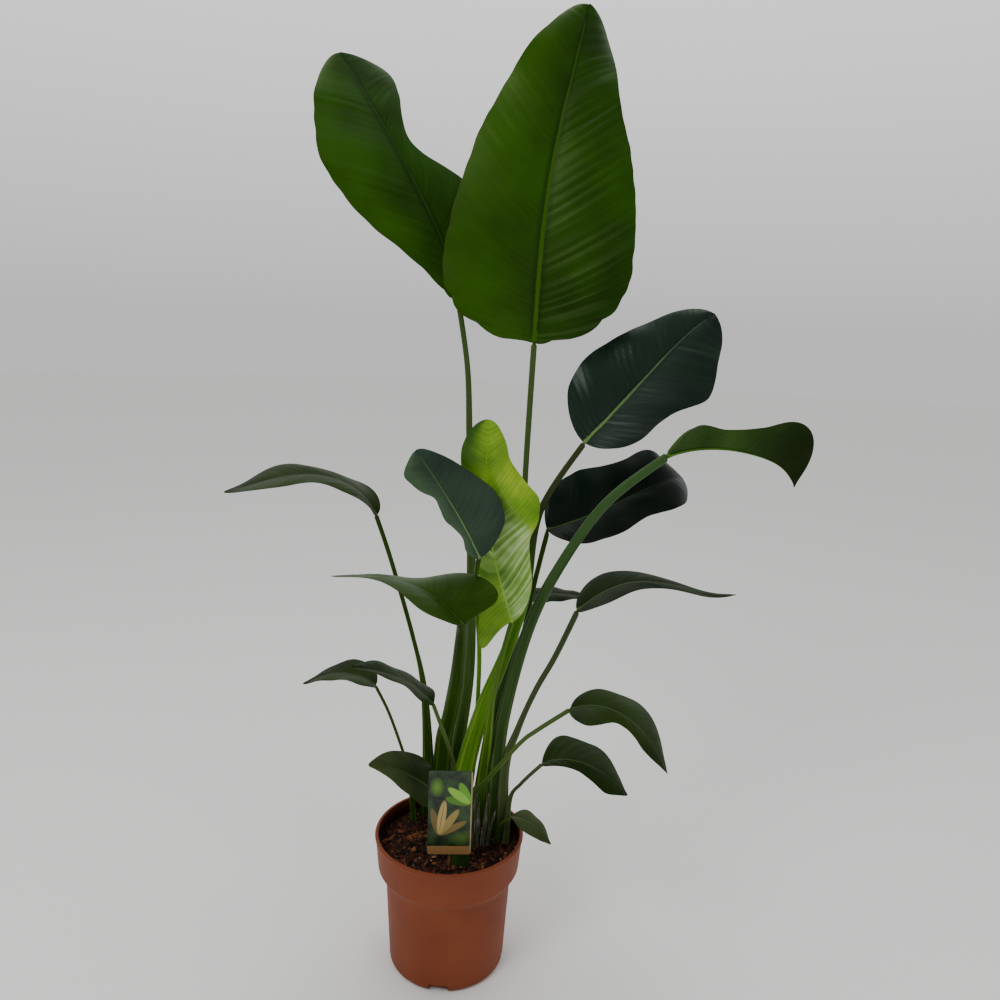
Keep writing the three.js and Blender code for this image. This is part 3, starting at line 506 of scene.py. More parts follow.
def smooth(values, t):
    """The value at t (0 to 1) of a smooth curve through evenly spaced numbers."""
    last = len(values) - 1
    place = min(max(t, 0), 1) * last
    i = min(int(place), max(last - 1, 0))
    f = place - i
    a, b, c, d = (values[min(max(k, 0), last)] for k in (i - 1, i, i + 1, i + 2))
    return b + 0.5 * f * (c - a + f * (2 * a - 5 * b + 4 * c - d + f * (3 * (b - c) + d - a)))


def smooth_point(points, t):
    return Vector([smooth([point[axis] for point in points], t) for axis in range(3)])


def direction(heading, rise):
    """A unit vector from a heading and a rise in degrees."""
    h, e = math.radians(heading), math.radians(rise)
    return Vector((math.cos(h) * math.cos(e), math.sin(h) * math.cos(e), math.sin(e)))


class Blade:
    """The blade's surface: point(t, v) is at share t of the length and share v of a half's width,
    with v from -1 at the left margin to 1 at the right one."""

    def __init__(self, leaf, seed):
        self.leaf = leaf
        self.seed = seed
        self.midrib = [Vector(leaf["neck"])]
        step = leaf["length"] / MIDRIB_STEPS
        for i in range(MIDRIB_STEPS):
            self.midrib.append(self.midrib[i] + self.tangent((i + 0.5) / MIDRIB_STEPS) * step)

    def noise(self, x, y=0):
        return noise.noise(Vector((x, y, self.seed)))

    def tangent(self, t):
        return direction(smooth(self.leaf["heading"], t), smooth(self.leaf["rise"], t))

    def middle(self, t):
        if t <= 0:
            return self.midrib[0] + self.tangent(0) * t * self.leaf["length"]
        place = min(t, 1) * MIDRIB_STEPS
        i = min(int(place), MIDRIB_STEPS - 1)
        return self.midrib[i].lerp(self.midrib[i + 1], place - i)

    def frame(self, t):
        """The directions across the blade, towards its right half, and up from its face."""
        level = math.radians(smooth(self.leaf["heading"], t))
        across = Vector((math.sin(level), -math.cos(level), 0))
        up = across.cross(self.tangent(t))
        roll = math.radians(smooth(self.leaf["roll"], t))
        cos, sin = math.cos(roll), math.sin(roll)
        return across * cos + up * sin, up * cos - across * sin

    def half_width(self, t, side):
        base, tip = self.leaf["ends"]
        blunt = self.leaf["blunt"]
        width = smooth(self.leaf["wide_right" if side > 0 else "wide_left"], t)
        if t < base:
            width *= math.sqrt(1 - (1 - t / base) ** blunt)
        if t > 1 - tip:
            width *= math.sqrt(max(1 - ((t - 1 + tip) / tip) ** blunt, 0))
        return width

    def fold(self, t, side):
        """The share of a half's width where its crease lies, or 1."""
        crease = self.leaf["crease"]
        return smooth(crease["at"], t) if crease and crease["side"] == side else 1

    def point(self, t, v):
        leaf = self.leaf
        side = 1 if v > 0 else -1
        share = abs(v)
        root = t ** SWEEP["root"]
        lobe = leaf["lobe"][1 if side > 0 else 0] * SWEEP["lobe"] * t * (1 - t) ** SWEEP["fade"]
        u = root + (t - root - lobe) * share ** SWEEP["spread"]
        across, up = self.frame(u)
        lift = math.radians(smooth(leaf["right" if side > 0 else "left"], t))
        width = self.half_width(t, side)
        ruffle, way = self.ruffle(t, side, share)
        size, depth = BLADE["edge"]
        uneven = self.noise(t * leaf["length"] / size, 3 * side)
        reach = width * share * (1 + depth * uneven * share ** 4) + ruffle * math.sin(way)
        fold = self.fold(t, side)
        inner = reach * fold / share if share > fold else reach
        turn = math.radians(smooth(leaf["crease"]["turn"], t)) if share > fold else 0
        late = max(0, (t - BLADE["curl_from"]) / (1 - BLADE["curl_from"]))
        curl = math.radians(leaf["curl"]) * late * share + TINY
        lift -= curl / 2
        inner *= math.sin(curl / 2) / (curl / 2)
        centre = self.middle(u) - self.tangent(u) * ruffle * math.cos(way)
        for length, angle in ((inner, lift), (reach - inner if share > fold else 0, lift + turn)):
            centre = centre + across * (side * math.cos(angle) * length) + up * (math.sin(angle) * length)
        height, count, phase = leaf["wave"]
        rise = height * share ** 2 * math.sin(2 * math.pi * (count * t + phase * side)) + ruffle
        return centre + up * (rise + self.relief(t, side, share, width, centre))

    def ruffle(self, t, side, share):
        """How far the ruffled base stands out, and the margin's turn from the neck to the side."""
        way = math.acos(max(1 - t / self.leaf["ends"][0], 0))
        waves, fade = BLADE["ruffles"]
        scallop = abs(math.sin(waves * way / 2 + side + self.noise(way * 2, side))) - 0.6
        return self.leaf["ruffle"] * math.exp(-((t / fade) ** 2)) * share ** 3 * scallop, way

    def vein(self, t, share):
        """How far along the midrib the side vein through a point starts."""
        return self.leaf["length"] * t * (1 - BLADE["slant"] * share * (1 - t))

    def relief(self, t, side, share, width, centre):
        """The height of the half's bulge, the ridges and folds along its veins and its slow bends."""
        inside = max(4 * share * (1 - share), 0)
        vein = self.vein(t, share)
        gap = self.leaf["vein_gap"]
        stretch, mean = BLADE["rib_stretches"]
        strength = self.leaf["ribs"][1 if side > 0 else 0] * (1 - 0.5 * t ** 2)
        strength *= mean + self.noise(vein / stretch, 5 * side)
        drift = self.noise(vein / BLADE["rib_drift"], side)
        veins = BLADE["slope"] * gap * max(strength, 0.05) * math.sin(2 * math.pi * (vein / gap + drift))
        size, rise = BLADE["folds"]
        folds = rise * self.noise(vein / size, 9 * side)
        size, bend = BLADE["buckle"]
        buckle = bend * noise.noise(centre / size + Vector((self.seed, 0, 0))) * min(share * 2, 1)
        return BLADE["arch"] * width * inside + (veins + folds) * math.sqrt(inside) + buckle


def select(*pieces):
    """Selects these pieces alone, or nothing, with the first one active."""
    bpy.ops.object.select_all(action="DESELECT")
    for piece in pieces:
        piece.select_set(True)
    if pieces:
        bpy.context.view_layer.objects.active = pieces[0]


def place_in_scene(name, data):
    made = bpy.data.objects.new(name, data)
    bpy.context.collection.objects.link(made)
    return made


def primitive(add, name, **settings):
    """Adds a primitive mesh by its operator, with a name and the operator's settings."""
    select()
    add(**settings)
    bpy.context.object.name = name
    return bpy.context.object


def apply_modifier(piece, kind, **settings):
    select(piece)
    modifier = piece.modifiers.new(kind.lower(), kind)
    for key, value in settings.items():
        setattr(modifier, key, value)
    bpy.ops.object.modifier_apply(modifier=modifier.name)


def merge_doubles(piece, recalculate=False):
    select(piece)
    bpy.ops.object.mode_set(mode="EDIT")
    bpy.ops.mesh.select_all(action="SELECT")
    bpy.ops.mesh.remove_doubles(threshold=0.01 * MM)
    if recalculate:
        bpy.ops.mesh.normals_make_consistent(inside=False)
    bpy.ops.object.mode_set(mode="OBJECT")


def shaped_grid(name, columns, rows, uv_name, place, uv):
    """A grid primitive whose every vertex (x, y), each from -1 to 1, moves to place(x, y)."""
    piece = primitive(bpy.ops.mesh.primitive_grid_add, name, x_subdivisions=columns,
                      y_subdivisions=rows, size=2)
    mesh = piece.data
    corners = [(vertex.co.x, vertex.co.y) for vertex in mesh.vertices]
    layer = mesh.uv_layers.active
    layer.name = uv_name
    marks = [uv(x, y) for x, y in corners]
    for loop in mesh.loops:
        layer.data[loop.index].uv = marks[loop.vertex_index]
    for vertex, (x, y) in zip(mesh.vertices, corners):
        vertex.co = place(x, y) * MM
    return piece


def join(pieces):
    """Joins pieces into the first one, each face keeping its material."""
    select(*pieces)
    bpy.ops.object.join()
    return pieces[0]


def finish_piece(piece, materials, slot, *nodes):
    """Gives a piece its materials, smooth shading and its place in the frame, and hides the CAD nodes that it
    stands for.
    """
    for material in materials:
        piece.data.materials.append(material)
    select(piece)
    bpy.ops.object.shade_smooth_by_angle(angle=math.radians(SMOOTH_ANGLE))
    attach(piece, "root")
    if nodes:
        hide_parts(*nodes)


def blade_share(y):
    """The share of the blade's length for a row of the grid, closer at both ends."""
    s = (y + 1) / 2
    return s + (0.5 - 0.5 * math.cos(math.pi * s) - s) * BLADE["ease"]


def lamina(name, leaf, blade):
    """The blade's thin sheet, with its face and its underside."""
    rows = round(leaf["length"] / BLADE["row"])
    columns = 2 * round(max(leaf["wide_left"] + leaf["wide_right"]) / BLADE["column"])
    piece = shaped_grid(
        name, columns, rows, "blade",
        lambda x, y: blade.point(blade_share(y), x),
        lambda x, y: (x, blade.vein(blade_share(y), abs(x)) * MM),
    )
    mark_blade(piece, leaf, blade, columns)
    merge_doubles(piece)
    apply_modifier(piece, "SOLIDIFY", thickness=BLADE["thickness"] * MM, offset=0, use_rim=True,
                   material_offset=1, material_offset_rim=1)
    return piece


def mark_blade(piece, leaf, blade, columns):
    """Marks how much painted sheen each point takes near a curled tip, how much painted shade darkens
    it near the tip, and how far it lies on a creased leaf's flap, lower left lobe or upper left half."""
    mesh = piece.data
    marks = {key: mesh.attributes.new(key, "FLOAT", "POINT") for key in ("tip_sheen", "dusk", "flap")}
    last_row = len(mesh.vertices) // (columns + 1) - 1
    tip_sheen_from, tip_sheen = MARKS["tip_sheen"]
    dusk_from, dusk_slope = MARKS["dusk"]
    lobe_to, lobe_slope = MARKS["lobe"]
    upper_from, upper_slope = MARKS["upper"]
    upper_middle, upper_lean = MARKS["across"]
    for i in range(len(mesh.vertices)):
        x = 2 * (i % (columns + 1)) / columns - 1
        t = blade_share(2 * (i // (columns + 1)) / last_row - 1)
        late = max(0, (t - tip_sheen_from) / (1 - tip_sheen_from))
        # Painted sheen near a curled tip's margins.
        marks["tip_sheen"].data[i].value = tip_sheen * late * abs(x) ** 6 if leaf["curl"] else 0
        # Painted shade darkening the tip, growing from a share of the length.
        marks["dusk"].data[i].value = leaf["dusk"] * min(max((t - dusk_from) * dusk_slope, 0), 1)
        if leaf["crease"]:
            beyond = x * leaf["crease"]["side"] - blade.fold(t, leaf["crease"]["side"])
            lobe = min(-lobe_slope * x, lobe_slope * (lobe_to - t))
            upper = min(upper_slope * (t - upper_from), upper_middle + upper_lean * x)
            marks["flap"].data[i].value = min(max(beyond * MARKS["flap"] + 0.5, 0, lobe, upper), 1)


def tube(name, sides, rows, uv_name, ring, length):
    """A closed tube: ring(s, angle, open_share) is a point at share s of its length, and
    open_share is 0 at both ends, which closes them."""
    def place(x, y):
        return ring((y + 1) / 2, math.pi * x, 0 if abs(y) > 1 - TINY else 1)

    def uv(x, y):
        return ((x + 1) / 2, (y + 1) / 2 * length * MM)

    piece = shaped_grid(name, sides, rows, uv_name, place, uv)
    merge_doubles(piece, recalculate=True)
    return piece


def midrib(name, leaf, blade):
    """The midrib: a low grooved ridge on the face and a keel below, as wide as the stalk at the
    neck and narrowing towards the tip."""
    neck = leaf["sheath"][1] / 2

    def ring(s, angle, open_share):
        t = s * RIB["reach"] + RIB["start"]
        along = max(t, 0)
        across, up = blade.frame(along)
        thin = RIB["tip"] + (1 - RIB["tip"]) * (1 - along) ** RIB["narrowing"]
        near = max(0, 1 - along / RIB["join"]) ** 2
        wide = neck * leaf["rib"] * thin
        half = (wide * (1 - near) + neck * near) * open_share
        groove = RIB["groove"] * math.exp(-((math.cos(angle) / RIB["groove_width"]) ** 2))
        above = BLADE["thickness"] / 2 + RIB["proud"] * wide * (1 - groove)
        tall = above if math.sin(angle) > 0 else RIB["keel"] * thin
        tall = (tall * (1 - near) + neck * STALK["flatness"][1] * near) * open_share
        return blade.middle(t) + across * math.cos(angle) * half + up * math.sin(angle) * tall

    return tube(name, RIB["sides"], RIB["rows"], "blade", ring, 1 / MM)


def leaf_blade(name, leaf, seed, skins, rib):
    """The sheet and the midrib in one piece. skins are those of the face and the underside."""
    blade = Blade(leaf, seed)
    sheet = lamina("blade_" + name + "_skin", leaf, blade)
    ridge = midrib("blade_" + name + "_rib", leaf, blade)
    for piece, materials in ((sheet, skins), (ridge, [rib])):
        for material in materials:
            piece.data.materials.append(material)
    return join([sheet, ridge])


def stalk_width(leaf, t):
    """The sheaths clasp each other at the foot, so they flare a little wider than the solids."""
    wide, slim, end = leaf["clasp"] or leaf["sheath"]
    flare = 1 if leaf["clasp"] else STALK["flare"]
    return slim + (wide * flare - slim) * max(0, 1 - t / end) ** STALK["taper"]


def stalk_line(leaf):
    """The stalk's centre line, from the foot of its hole into the blade, and its end's way."""
    foot = leaf["stalk"][0]
    arrival = direction(leaf["heading"][0], leaf["rise"][0])
    neck = Vector(leaf["neck"]) + arrival * STALK["into_blade"]
    return [(foot[0], foot[1], SOIL["z"] - SOIL["hole_depth"]), *leaf["stalk"][1:], tuple(neck)], arrival


def leaf_stalk(name, leaf):
    """The stalk, grooved on the side that its leaf's face is on."""
    line, arrival = stalk_line(leaf)
    length = sum((Vector(b) - Vector(a)).length for a, b in zip(line, line[1:]))
    rows = max(16, round(length / STALK["row"]))
    low, high = STALK["flatness"]

    def ring(s, angle, open_share):
        ahead = smooth_point(line, min(s + 0.01, 1))
        behind = smooth_point(line, max(s - 0.01, 0))
        along = (ahead - behind).normalized()
        along = along.lerp(arrival, max(0, 1 - (1 - s) / STALK["turn_over"])).normalized()
        across = Vector((0, 1, 0)).cross(along).normalized()
        deep = along.cross(across)
        away = math.degrees(angle) + 90
        dip = STALK["groove"] * math.exp(-((away / STALK["groove_width"]) ** 2)) * (1 - 0.6 * s)
        reach = stalk_width(leaf, s) / 2 * open_share * (1 - dip)
        flat = low + (high - low) * s
        return (smooth_point(line, s) + across * math.cos(angle) * reach
                + deep * math.sin(angle) * reach * flat)

    return tube("stalk_" + name, STALK["sides"], rows, "stalk", ring, length)


def rounded(corners, steps=5):
    """A profile whose (x, z, radius) corners are rounded."""
    points = []
    for i, (x, z, radius) in enumerate(corners):
        here = Vector((x, z))
        if radius == 0:
            points.append(here)
            continue
        before = here + (Vector(corners[i - 1][:2]) - here).normalized() * radius
        after = here + (Vector(corners[i + 1][:2]) - here).normalized() * radius
        for k in range(steps + 1):
            f = k / steps
            points.append(before.lerp(here, f).lerp(here.lerp(after, f), f))
    return points


def turned(name, profile, turns):
    """A profile of (radius, z) points spun round the Z axis."""
    mesh = bpy.data.meshes.new(name)
    edges = [(i, i + 1) for i in range(len(profile) - 1)]
    mesh.from_pydata([(x * MM, 0, z * MM) for x, z in profile], edges, [])
    piece = place_in_scene(name, mesh)
    select(piece)
    bpy.ops.object.mode_set(mode="EDIT")
    bpy.ops.mesh.select_all(action="SELECT")
    bpy.ops.mesh.spin(steps=turns, angle=2 * math.pi, center=(0, 0, 0), axis=(0, 0, 1))
    bpy.ops.object.mode_set(mode="OBJECT")
    merge_doubles(piece, recalculate=True)
    return piece


def pot_profile():
    rim, wall, lip, height = POT["rim"], POT["wall"], POT["lip"], POT["height"]
    foot_x, foot_z = POT["collar_foot"]
    top_x, top_z = POT["body_top"]
    start, sweep = POT["lip_turn"]
    middle, reach, steps = rim - wall / 2, lip + wall / 2, 10
    roll = []
    for k in range(steps + 1):
        angle = math.radians(start + sweep * k / steps)
        roll.append((middle + reach * math.cos(angle), height - lip + reach * math.sin(angle)))
    top_round, foot_round = POT["outer_rounds"]
    outside = rounded([
        (0, 0, 0), (POT["base"], 0, POT["corner"]), (top_x, top_z, top_round), (foot_x, foot_z, foot_round),
        (rim, height - 4 * lip, 0),
    ])
    foot_round, top_round, base_round = POT["inner_rounds"]
    inside = rounded([
        (rim - wall, height - 2 * lip, 0), (foot_x - wall, foot_z, foot_round),
        (top_x - wall, top_z, top_round), (POT["base"] - wall, wall, base_round), (0, wall, 0),
    ])
    return [*outside, *roll, *inside]


def cut(piece, cutter):
    apply_modifier(piece, "BOOLEAN", operation="DIFFERENCE", object=cutter, solver="EXACT")
    bpy.data.objects.remove(cutter)


def on_ring(angle, radius):
    return Vector((math.cos(angle), math.sin(angle), 0)) * radius * MM


def make_pot():
    pot = turned("pot_moulded", pot_profile(), POT["turns"])
    for i in range(DRAIN_HOLES["count"]):
        angle = 2 * math.pi * (i + 0.5) / DRAIN_HOLES["count"]
        cut(pot, primitive(
            bpy.ops.mesh.primitive_cylinder_add, "hole", vertices=24, radius=DRAIN_HOLES["radius"] * MM,
            depth=4 * POT["wall"] * MM, location=on_ring(angle, DRAIN_HOLES["ring"])))
    for i in range(DRAIN_SLOTS["count"]):
        angle = 2 * math.pi * i / DRAIN_SLOTS["count"] + math.radians(DRAIN_SLOTS["turned"])
        slot = primitive(bpy.ops.mesh.primitive_cube_add, "notch", size=1,
                         location=on_ring(angle, POT["base"]), rotation=(0, 0, angle))
        slot.scale = Vector((DRAIN_SLOTS["depth"], DRAIN_SLOTS["width"], 2 * DRAIN_SLOTS["height"])) * MM
        bpy.ops.object.transform_apply(location=False, rotation=False, scale=True)
        apply_modifier(slot, "BEVEL", width=DRAIN_SLOTS["rounding"] * MM, segments=4)
        cut(pot, slot)
    finish_piece(pot, [moulded_plastic()], "pot_plastic", "pot")


def soil_height(x, y):
    """The height of the soil's rough surface at a point, all in millimetres."""
    share = 1 - (math.hypot(x, y) / SOIL["edge"]) ** 2
    swell, *lumps = (height * noise.noise(Vector((x / size, y / size, seed)))
                     for size, height, seed in SOIL["swell_and_lumps"])
    return SOIL["z"] + (SOIL["dome"] + swell) * share + sum(lumps)


def make_soil():
    rings, edge, wall = SOIL["rings"], SOIL["edge"], POT["wall"] + SOIL["gap"]
    profile = [(edge * k / rings, SOIL["z"]) for k in range(rings + 1)]
    profile += [(x - wall, z) for x, z in (POT["collar_foot"], POT["body_top"], (POT["base"], POT["corner"]))]
    profile += [(POT["base"] - POT["corner"], wall), (0, wall)]
    soil = turned("soil_fill", profile, SOIL["turns"])
    for vertex in soil.data.vertices:
        if vertex.co.z > (SOIL["z"] - 1) * MM:
            vertex.co.z = soil_height(vertex.co.x / MM, vertex.co.y / MM) * MM
    finish_piece(soil, [potting_mix()], "potting_soil", "soil")


def bark_chip():
    """A flat chip: a cube with broken edges and uneven corners."""
    chip = primitive(bpy.ops.mesh.primitive_cube_add, "bark_chips", size=2)
    apply_modifier(chip, "BEVEL", width=0.5, segments=1)
    return chip


# Litter on the soil: how uneven a lump is and how finely, the range of its width, its largest
# tilt in radians and how far its middle lies above the soil, as a share of its height.
LITTER = {"uneven": 0.45, "fineness": 1.7, "width": (0.6, 1.2), "tilt": 0.6, "sit": 0.4}


def scatter(lump, skin, count, seed, sizes, stretch):
    """Covers the soil with copies of a lump, each turned, sized and toned by itself."""
    draw = random.Random(seed)
    for vertex in lump.data.vertices:
        bump = noise.noise(vertex.co * LITTER["fineness"] + Vector((seed, 0, 0)))
        vertex.co *= 1 + LITTER["uneven"] * bump
    heap = bmesh.new()
    tones = []
    placed = 0
    while placed < count:
        radius = SOIL["edge"] * math.sqrt(draw.random())
        angle = 2 * math.pi * draw.random()
        x, y = radius * math.cos(angle), radius * math.sin(angle)
        size = sizes[0] + (sizes[1] - sizes[0]) * draw.random() ** 3
        if radius + size * stretch[0] > SOIL["edge"]:
            continue
        long, wide, tall = (size * share for share in stretch)
        form = Matrix.Diagonal((long, wide * draw.uniform(*LITTER["width"]), tall, 1))
        turn = Matrix.Rotation(2 * math.pi * draw.random(), 4, "Z")
        tilt = Matrix.Rotation(draw.uniform(-LITTER["tilt"], LITTER["tilt"]), 4, "X")
        spot = Vector((x, y, soil_height(x, y) + tall * LITTER["sit"]))
        copy = lump.data.copy()
        copy.transform(Matrix.Scale(MM, 4) @ Matrix.Translation(spot) @ turn @ tilt @ form)
        heap.from_mesh(copy)
        tones += [draw.random()] * len(copy.vertices)
        bpy.data.meshes.remove(copy)
        placed += 1
    heap.to_mesh(lump.data)
    heap.free()
    lump.data.attributes.new("tone", "FLOAT", "POINT").data.foreach_set("value", tones)
    finish_piece(lump, [skin], "potting_soil")


def make_litter():
    bark = [(0.1, "1e0c08"), (0.5, "582a18"), (0.85, "7e4c2e"), (0.97, "b8966c")]
    peat = [(0.2, "120805"), (0.7, "402416"), (1, "806244")]
    scatter(bark_chip(), broken_bark("composted_bark", bark),
            count=380, seed=5, sizes=(1.8, 5.5), stretch=(1.3, 0.8, 0.35))
    crumb = primitive(bpy.ops.mesh.primitive_ico_sphere_add, "peat_crumbs", subdivisions=1, radius=1)
    scatter(crumb, broken_bark("peat_crumb", peat),
            count=2400, seed=11, sizes=(0.8, 2.8), stretch=(1, 0.9, 0.8))


# Each leaf skin's name, its darker and lighter colours, the colour of the painted sunlight on its
# left half, the colour of the painted shade beside its midrib, its roughness, gloss, the tint of
# its gloss and the share of its tones that follows the veins.
LEAF_SKINS = {
    "bright": ("waxy_mid_green_leaf", "142e02", "254a06", "325808", "0c2402", 0.42, 0.22, WAX_TINT),
    "calm": ("waxy_calm_green_leaf", "152f04", "264a0a", "34580e", "0e2604", 0.5, 0.07, WAX_TINT),
    "dark": ("waxy_blackish_green_leaf", "010503", "122619", "182e1e", "07140c", 0.34, 0.4, GREY_TINT, 0.6),
    # A darker copy of the blackish green skin: painted shade, for mid_right.
    "painted_shade": ("waxy_black_green_leaf", "010402", "08140c", "0a1a10", "040c07", 0.38, 0.24, GREY_TINT, 0.6),
    # A darker, duller copy of the olive skin: painted shade, for right_arching and back.
    "dim": ("waxy_deep_green_leaf", "0f1a07", "1c2b0e", "203010", "141f08", 0.5, 0.08, WAX_TINT),
    "grass": ("waxy_grass_green_leaf", "1c3610", "385620", "44662a", "2c4814", 0.44, 0.2, WAX_TINT),
    "low": ("waxy_olive_green_leaf", "142207", "26380f", "2a3e12", "1c2c0c", 0.48, 0.1, WAX_TINT),
    "foot": ("waxy_dull_green_leaf", "24301a", "3e4c28", "46522e", "2c3a1c", 0.48, 0.12, WAX_TINT),
    # The centre leaf's pale grey-green is partly its own colour and partly painted sheen.
    "grey": ("waxy_grey_green_leaf", "1e2c20", "36483a", "4c6644", "2c4020", 0.46, 0.22, GREY_TINT),
    "olive": ("leaf_underside_skin", "122404", "2e4a10", "304c12", "243c08", 0.48, 0.16, WAX_TINT),
}
UNDERSIDES = {"olive": "low", "grass": "grass", "young": "young"}  # the others are olive below
# Each stalk skin's shaded and light colours, its sheath's, the sheath's edges' and the top's.
PETIOLES = {
    "dark": ("182c08", "2e480e", "304c10", "5c7a20", "2a3e10"),
    "soft": ("2c401a", "4a5e32", "4c6a26", "7c9040", "40542a"),
    "grey": ("2a3620", "404c32", "465430", "6c7a48", "3a4630"),
    "mid": ("2c4a10", "4c7020", "52781c", "a0bc48", "4c7020"),
    "lime": ("366808", "629420", "6e9e24", "a0b850", "30381f"),
    "blue": ("20391a", "39532c", "40602a", "7c8848", "34502a"),
}
# Each midrib's colours by the stalk and at the tip, for a leaf skin or for one leaf.
MIDRIBS = {
    "bright": ("34580f", "234806"),
    # tall_left's midrib is painted darker than its blade: painted shade along the ridge.
    "tall_left": ("1c3a04", "183404"),
    "dark": ("5c7c42", "3a5040"),
    # A darker midrib for the same painted shade.
    "painted_shade": ("3c5428", "1c3022"),
    "low": ("34481a", "2c4014"),
    # A darker midrib for the same painted shade.
    "dim": ("3c5024", "2c3e18"),
    "foot": ("54663a", "404e2a"),
    "grey": ("62804a", "50684a"),
    "grass": ("466a1c", "2a460c"),
    "olive": ("34501a", "2a460c"),
    "young": ("8cb24c", "84a616"),
}
SEED_STEP = 7.3  # between the leaves' places in the noise


def make_leaves():
    skins = {key: leaf_skin(*values) for key, values in LEAF_SKINS.items()}
    skins["young"] = young_skin()
    stalks = {key: petiole_skin("waxy_petiole_" + key, *values) for key, values in PETIOLES.items()}
    ribs = {key: midrib_skin("waxy_midrib_" + key, *values) for key, values in MIDRIBS.items()}
    for seed, (name, leaf) in enumerate(LEAVES.items()):
        finish, stalk = leaf["looks"]
        blade_slot, stalk_slot = leaf["slots"]
        rib = ribs[name if name in ribs else finish]
        faces = [skins[finish], skins[UNDERSIDES.get(finish, "olive")]]
        blade = leaf_blade(name, leaf, seed * SEED_STEP, faces, rib)
        blade.name = "leaf_" + name
        finish_piece(blade, [], blade_slot, "blade_" + name)
        stem = leaf_stalk(name, leaf)
        stem.name = "petiole_" + name
        finish_piece(stem, [stalks[stalk]], stalk_slot, "stalk_" + name)


# Each strip's foot (x, y), its height, its lean towards +X and the camera, its width and its curl.
DRIED_STRIPS = [
    (36, -20, 70, 6, 2, 9, 60),
    (43, -14, 92, 3, 4, 8, -50),
    (52, -10, 104, 8, 3, 9, 50),
    (60, -6, 74, 12, 5, 8, -60),
    (30, -16, 108, 12, 2, 9, 50),
]
# Their mesh, thickness and depth in the soil, how much they narrow, and how ragged, wavy and torn
# they are.
STRIP = {"grid": (8, 24), "thickness": 0.5, "sunk": 6, "taper": 0.75, "ragged": 0.2, "wave": 2.5,
         "torn": 4}


def make_dried_sheaths():
    """The dead sheaths' papery strips that stand round the foot of the stalks."""
    strips = []
    for k, (x, y, tall, lean, forward, width, curl) in enumerate(DRIED_STRIPS):
        def place(across, up):
            s = (up + 1) / 2
            ragged = 1 + STRIP["ragged"] * noise.noise(Vector((9 * s, k, across)))
            half = width / 2 * (1 - STRIP["taper"] * s ** 2) * ragged
            turn = math.radians(curl) * across
            wave = STRIP["wave"] * noise.noise(Vector((3 * s, 5, k)))
            torn = STRIP["torn"] * noise.noise(Vector((4 * across, k, 7)))
            return Vector((x + lean * s ** 1.5 + half * math.sin(turn) / math.radians(abs(curl)) + wave,
                           y - forward * s ** 2 - half * (1 - math.cos(turn)),
                           SOIL["z"] - STRIP["sunk"] + (tall + torn) * s))
        columns, rows = STRIP["grid"]
        strips.append(shaped_grid("strip", columns, rows, "strip", place, lambda a, b: (a, b)))
    piece = join(strips)
    piece.name = "dried_sheaths"
    apply_modifier(piece, "SOLIDIFY", thickness=STRIP["thickness"] * MM, offset=0)
    finish_piece(piece, [dried_sheath()], "stalk_dark")


def make_cane():
    """The thin split cane beside the label's stake, pushed into the soil behind the card."""
    cane = primitive(bpy.ops.mesh.primitive_cylinder_add, "label_cane", vertices=16,
                     radius=CANE["radius"] * MM, depth=(CANE["top"] - CANE["foot"]) * MM)
    for vertex in cane.data.vertices:
        low = vertex.co.z < 0
        end = Vector((*CANE["place"], CANE["foot" if low else "top"])) * MM
        flat = Vector((vertex.co.x, vertex.co.y * CANE["flatness"], 0))
        vertex.co = end + flat * (CANE["point"] if low else 1)
    apply_modifier(cane, "BEVEL", width=CANE["bevel"] * MM, segments=2)
    finish_piece(cane, [split_cane()], "label_stake")


def dress_label():
    for name, material in (("label_card", printed_card()), ("label_stake", stake_plastic())):
        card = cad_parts[name]
        card.data.materials.clear()
        card.data.materials.append(material)


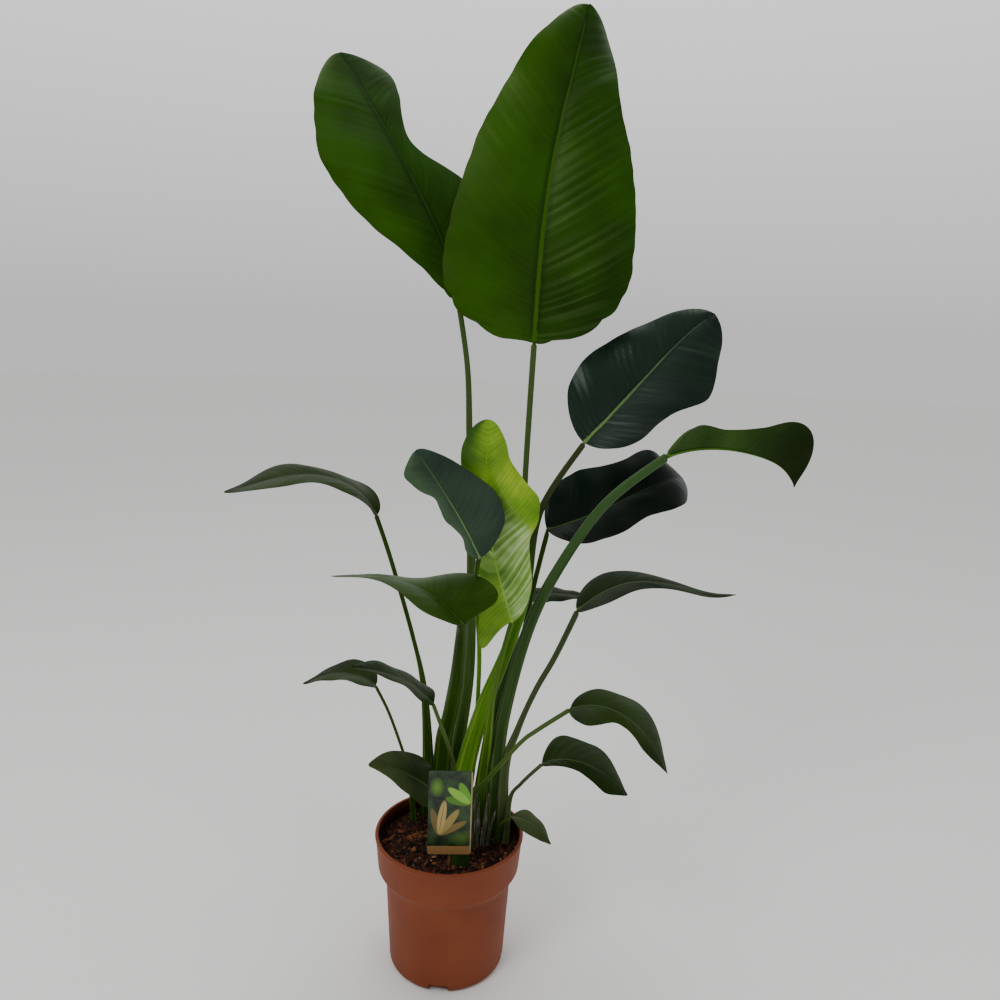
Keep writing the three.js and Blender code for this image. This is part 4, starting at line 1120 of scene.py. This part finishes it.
def make_camera():
    yaw, roll = math.radians(CAMERA["yaw"]), math.radians(CAMERA["roll"])
    ahead = direction(90 - CAMERA["yaw"], -CAMERA["pitch"])
    right = Vector((math.cos(yaw), -math.sin(yaw), 0))
    top = right.cross(ahead)
    level = right * math.cos(roll) + top * math.sin(roll)
    upright = top * math.cos(roll) - right * math.sin(roll)
    data = bpy.data.cameras.new("photo_camera")
    data.sensor_width = SENSOR
    data.lens = CAMERA["focal_px"] / PHOTO_PX * SENSOR
    camera = place_in_scene("photo_camera", data)
    turn = Matrix((level, upright, -ahead)).transposed()
    camera.matrix_world = Matrix.Translation(Vector(CAMERA["place"]) * MM) @ turn.to_4x4()
    bpy.context.scene.camera = camera


# Softboxes: place and width in metres and power in watts. AIM is the point that they face.
LIGHTS = {
    "key": ((-1.5, -1.8, 2.9), 1.4, 36),
    "fill": ((1.8, -2.2, 1.6), 1.6, 10),
    "top": ((0.1, 0.3, 3.4), 1.6, 14),
}
AIM = Vector((0, 0, 0.7))
# The air from the dimmer room to the backdrop beyond the plant: the Y part of the direction and
# the brightness at both ends. Then from the horizon, where the backdrop meets the floor, to
# above it: the Z part and the share of the brightness that is left.
ROOM_TO_BACKDROP = (-0.4, 0.7, 0.36, 1.15)
HORIZON_TO_SKY = (0, 0.35, 0.58, 1)
FLOOR_RADIUS = 14  # in metres


def make_lights():
    for name, (place, width, power) in LIGHTS.items():
        data = bpy.data.lights.new(name, "AREA")
        data.shape = "DISK"
        data.size = width
        data.energy = power
        lamp = place_in_scene(name, data)
        lamp.location = place
        lamp.rotation_euler = (AIM - lamp.location).to_track_quat("-Z", "Y").to_euler()


def make_air():
    world = bpy.data.worlds.new("studio_air")
    world.use_nodes = True
    tree = world.node_tree
    _, ahead, up = node(tree, "SeparateXYZ", [node(tree, "TexCoord")]).outputs
    glow = node(tree, "MapRange", [ahead, *ROOM_TO_BACKDROP])
    height = node(tree, "MapRange", [up, *HORIZON_TO_SKY])
    glow = node(tree, "Math", [glow, height], operation="MULTIPLY")
    fill(tree.nodes["Background"], {"Color": "ffffff", "Strength": glow})
    bpy.context.scene.world = world


def make_floor():
    floor = primitive(bpy.ops.mesh.primitive_circle_add, "studio_floor", vertices=96,
                      radius=FLOOR_RADIUS, fill_type="NGON")
    floor.data.materials.append(studio_floor())


make_camera()
make_lights()
make_air()
make_floor()
make_pot()
make_soil()
make_litter()
make_leaves()
make_dried_sheaths()
dress_label()
make_cane()
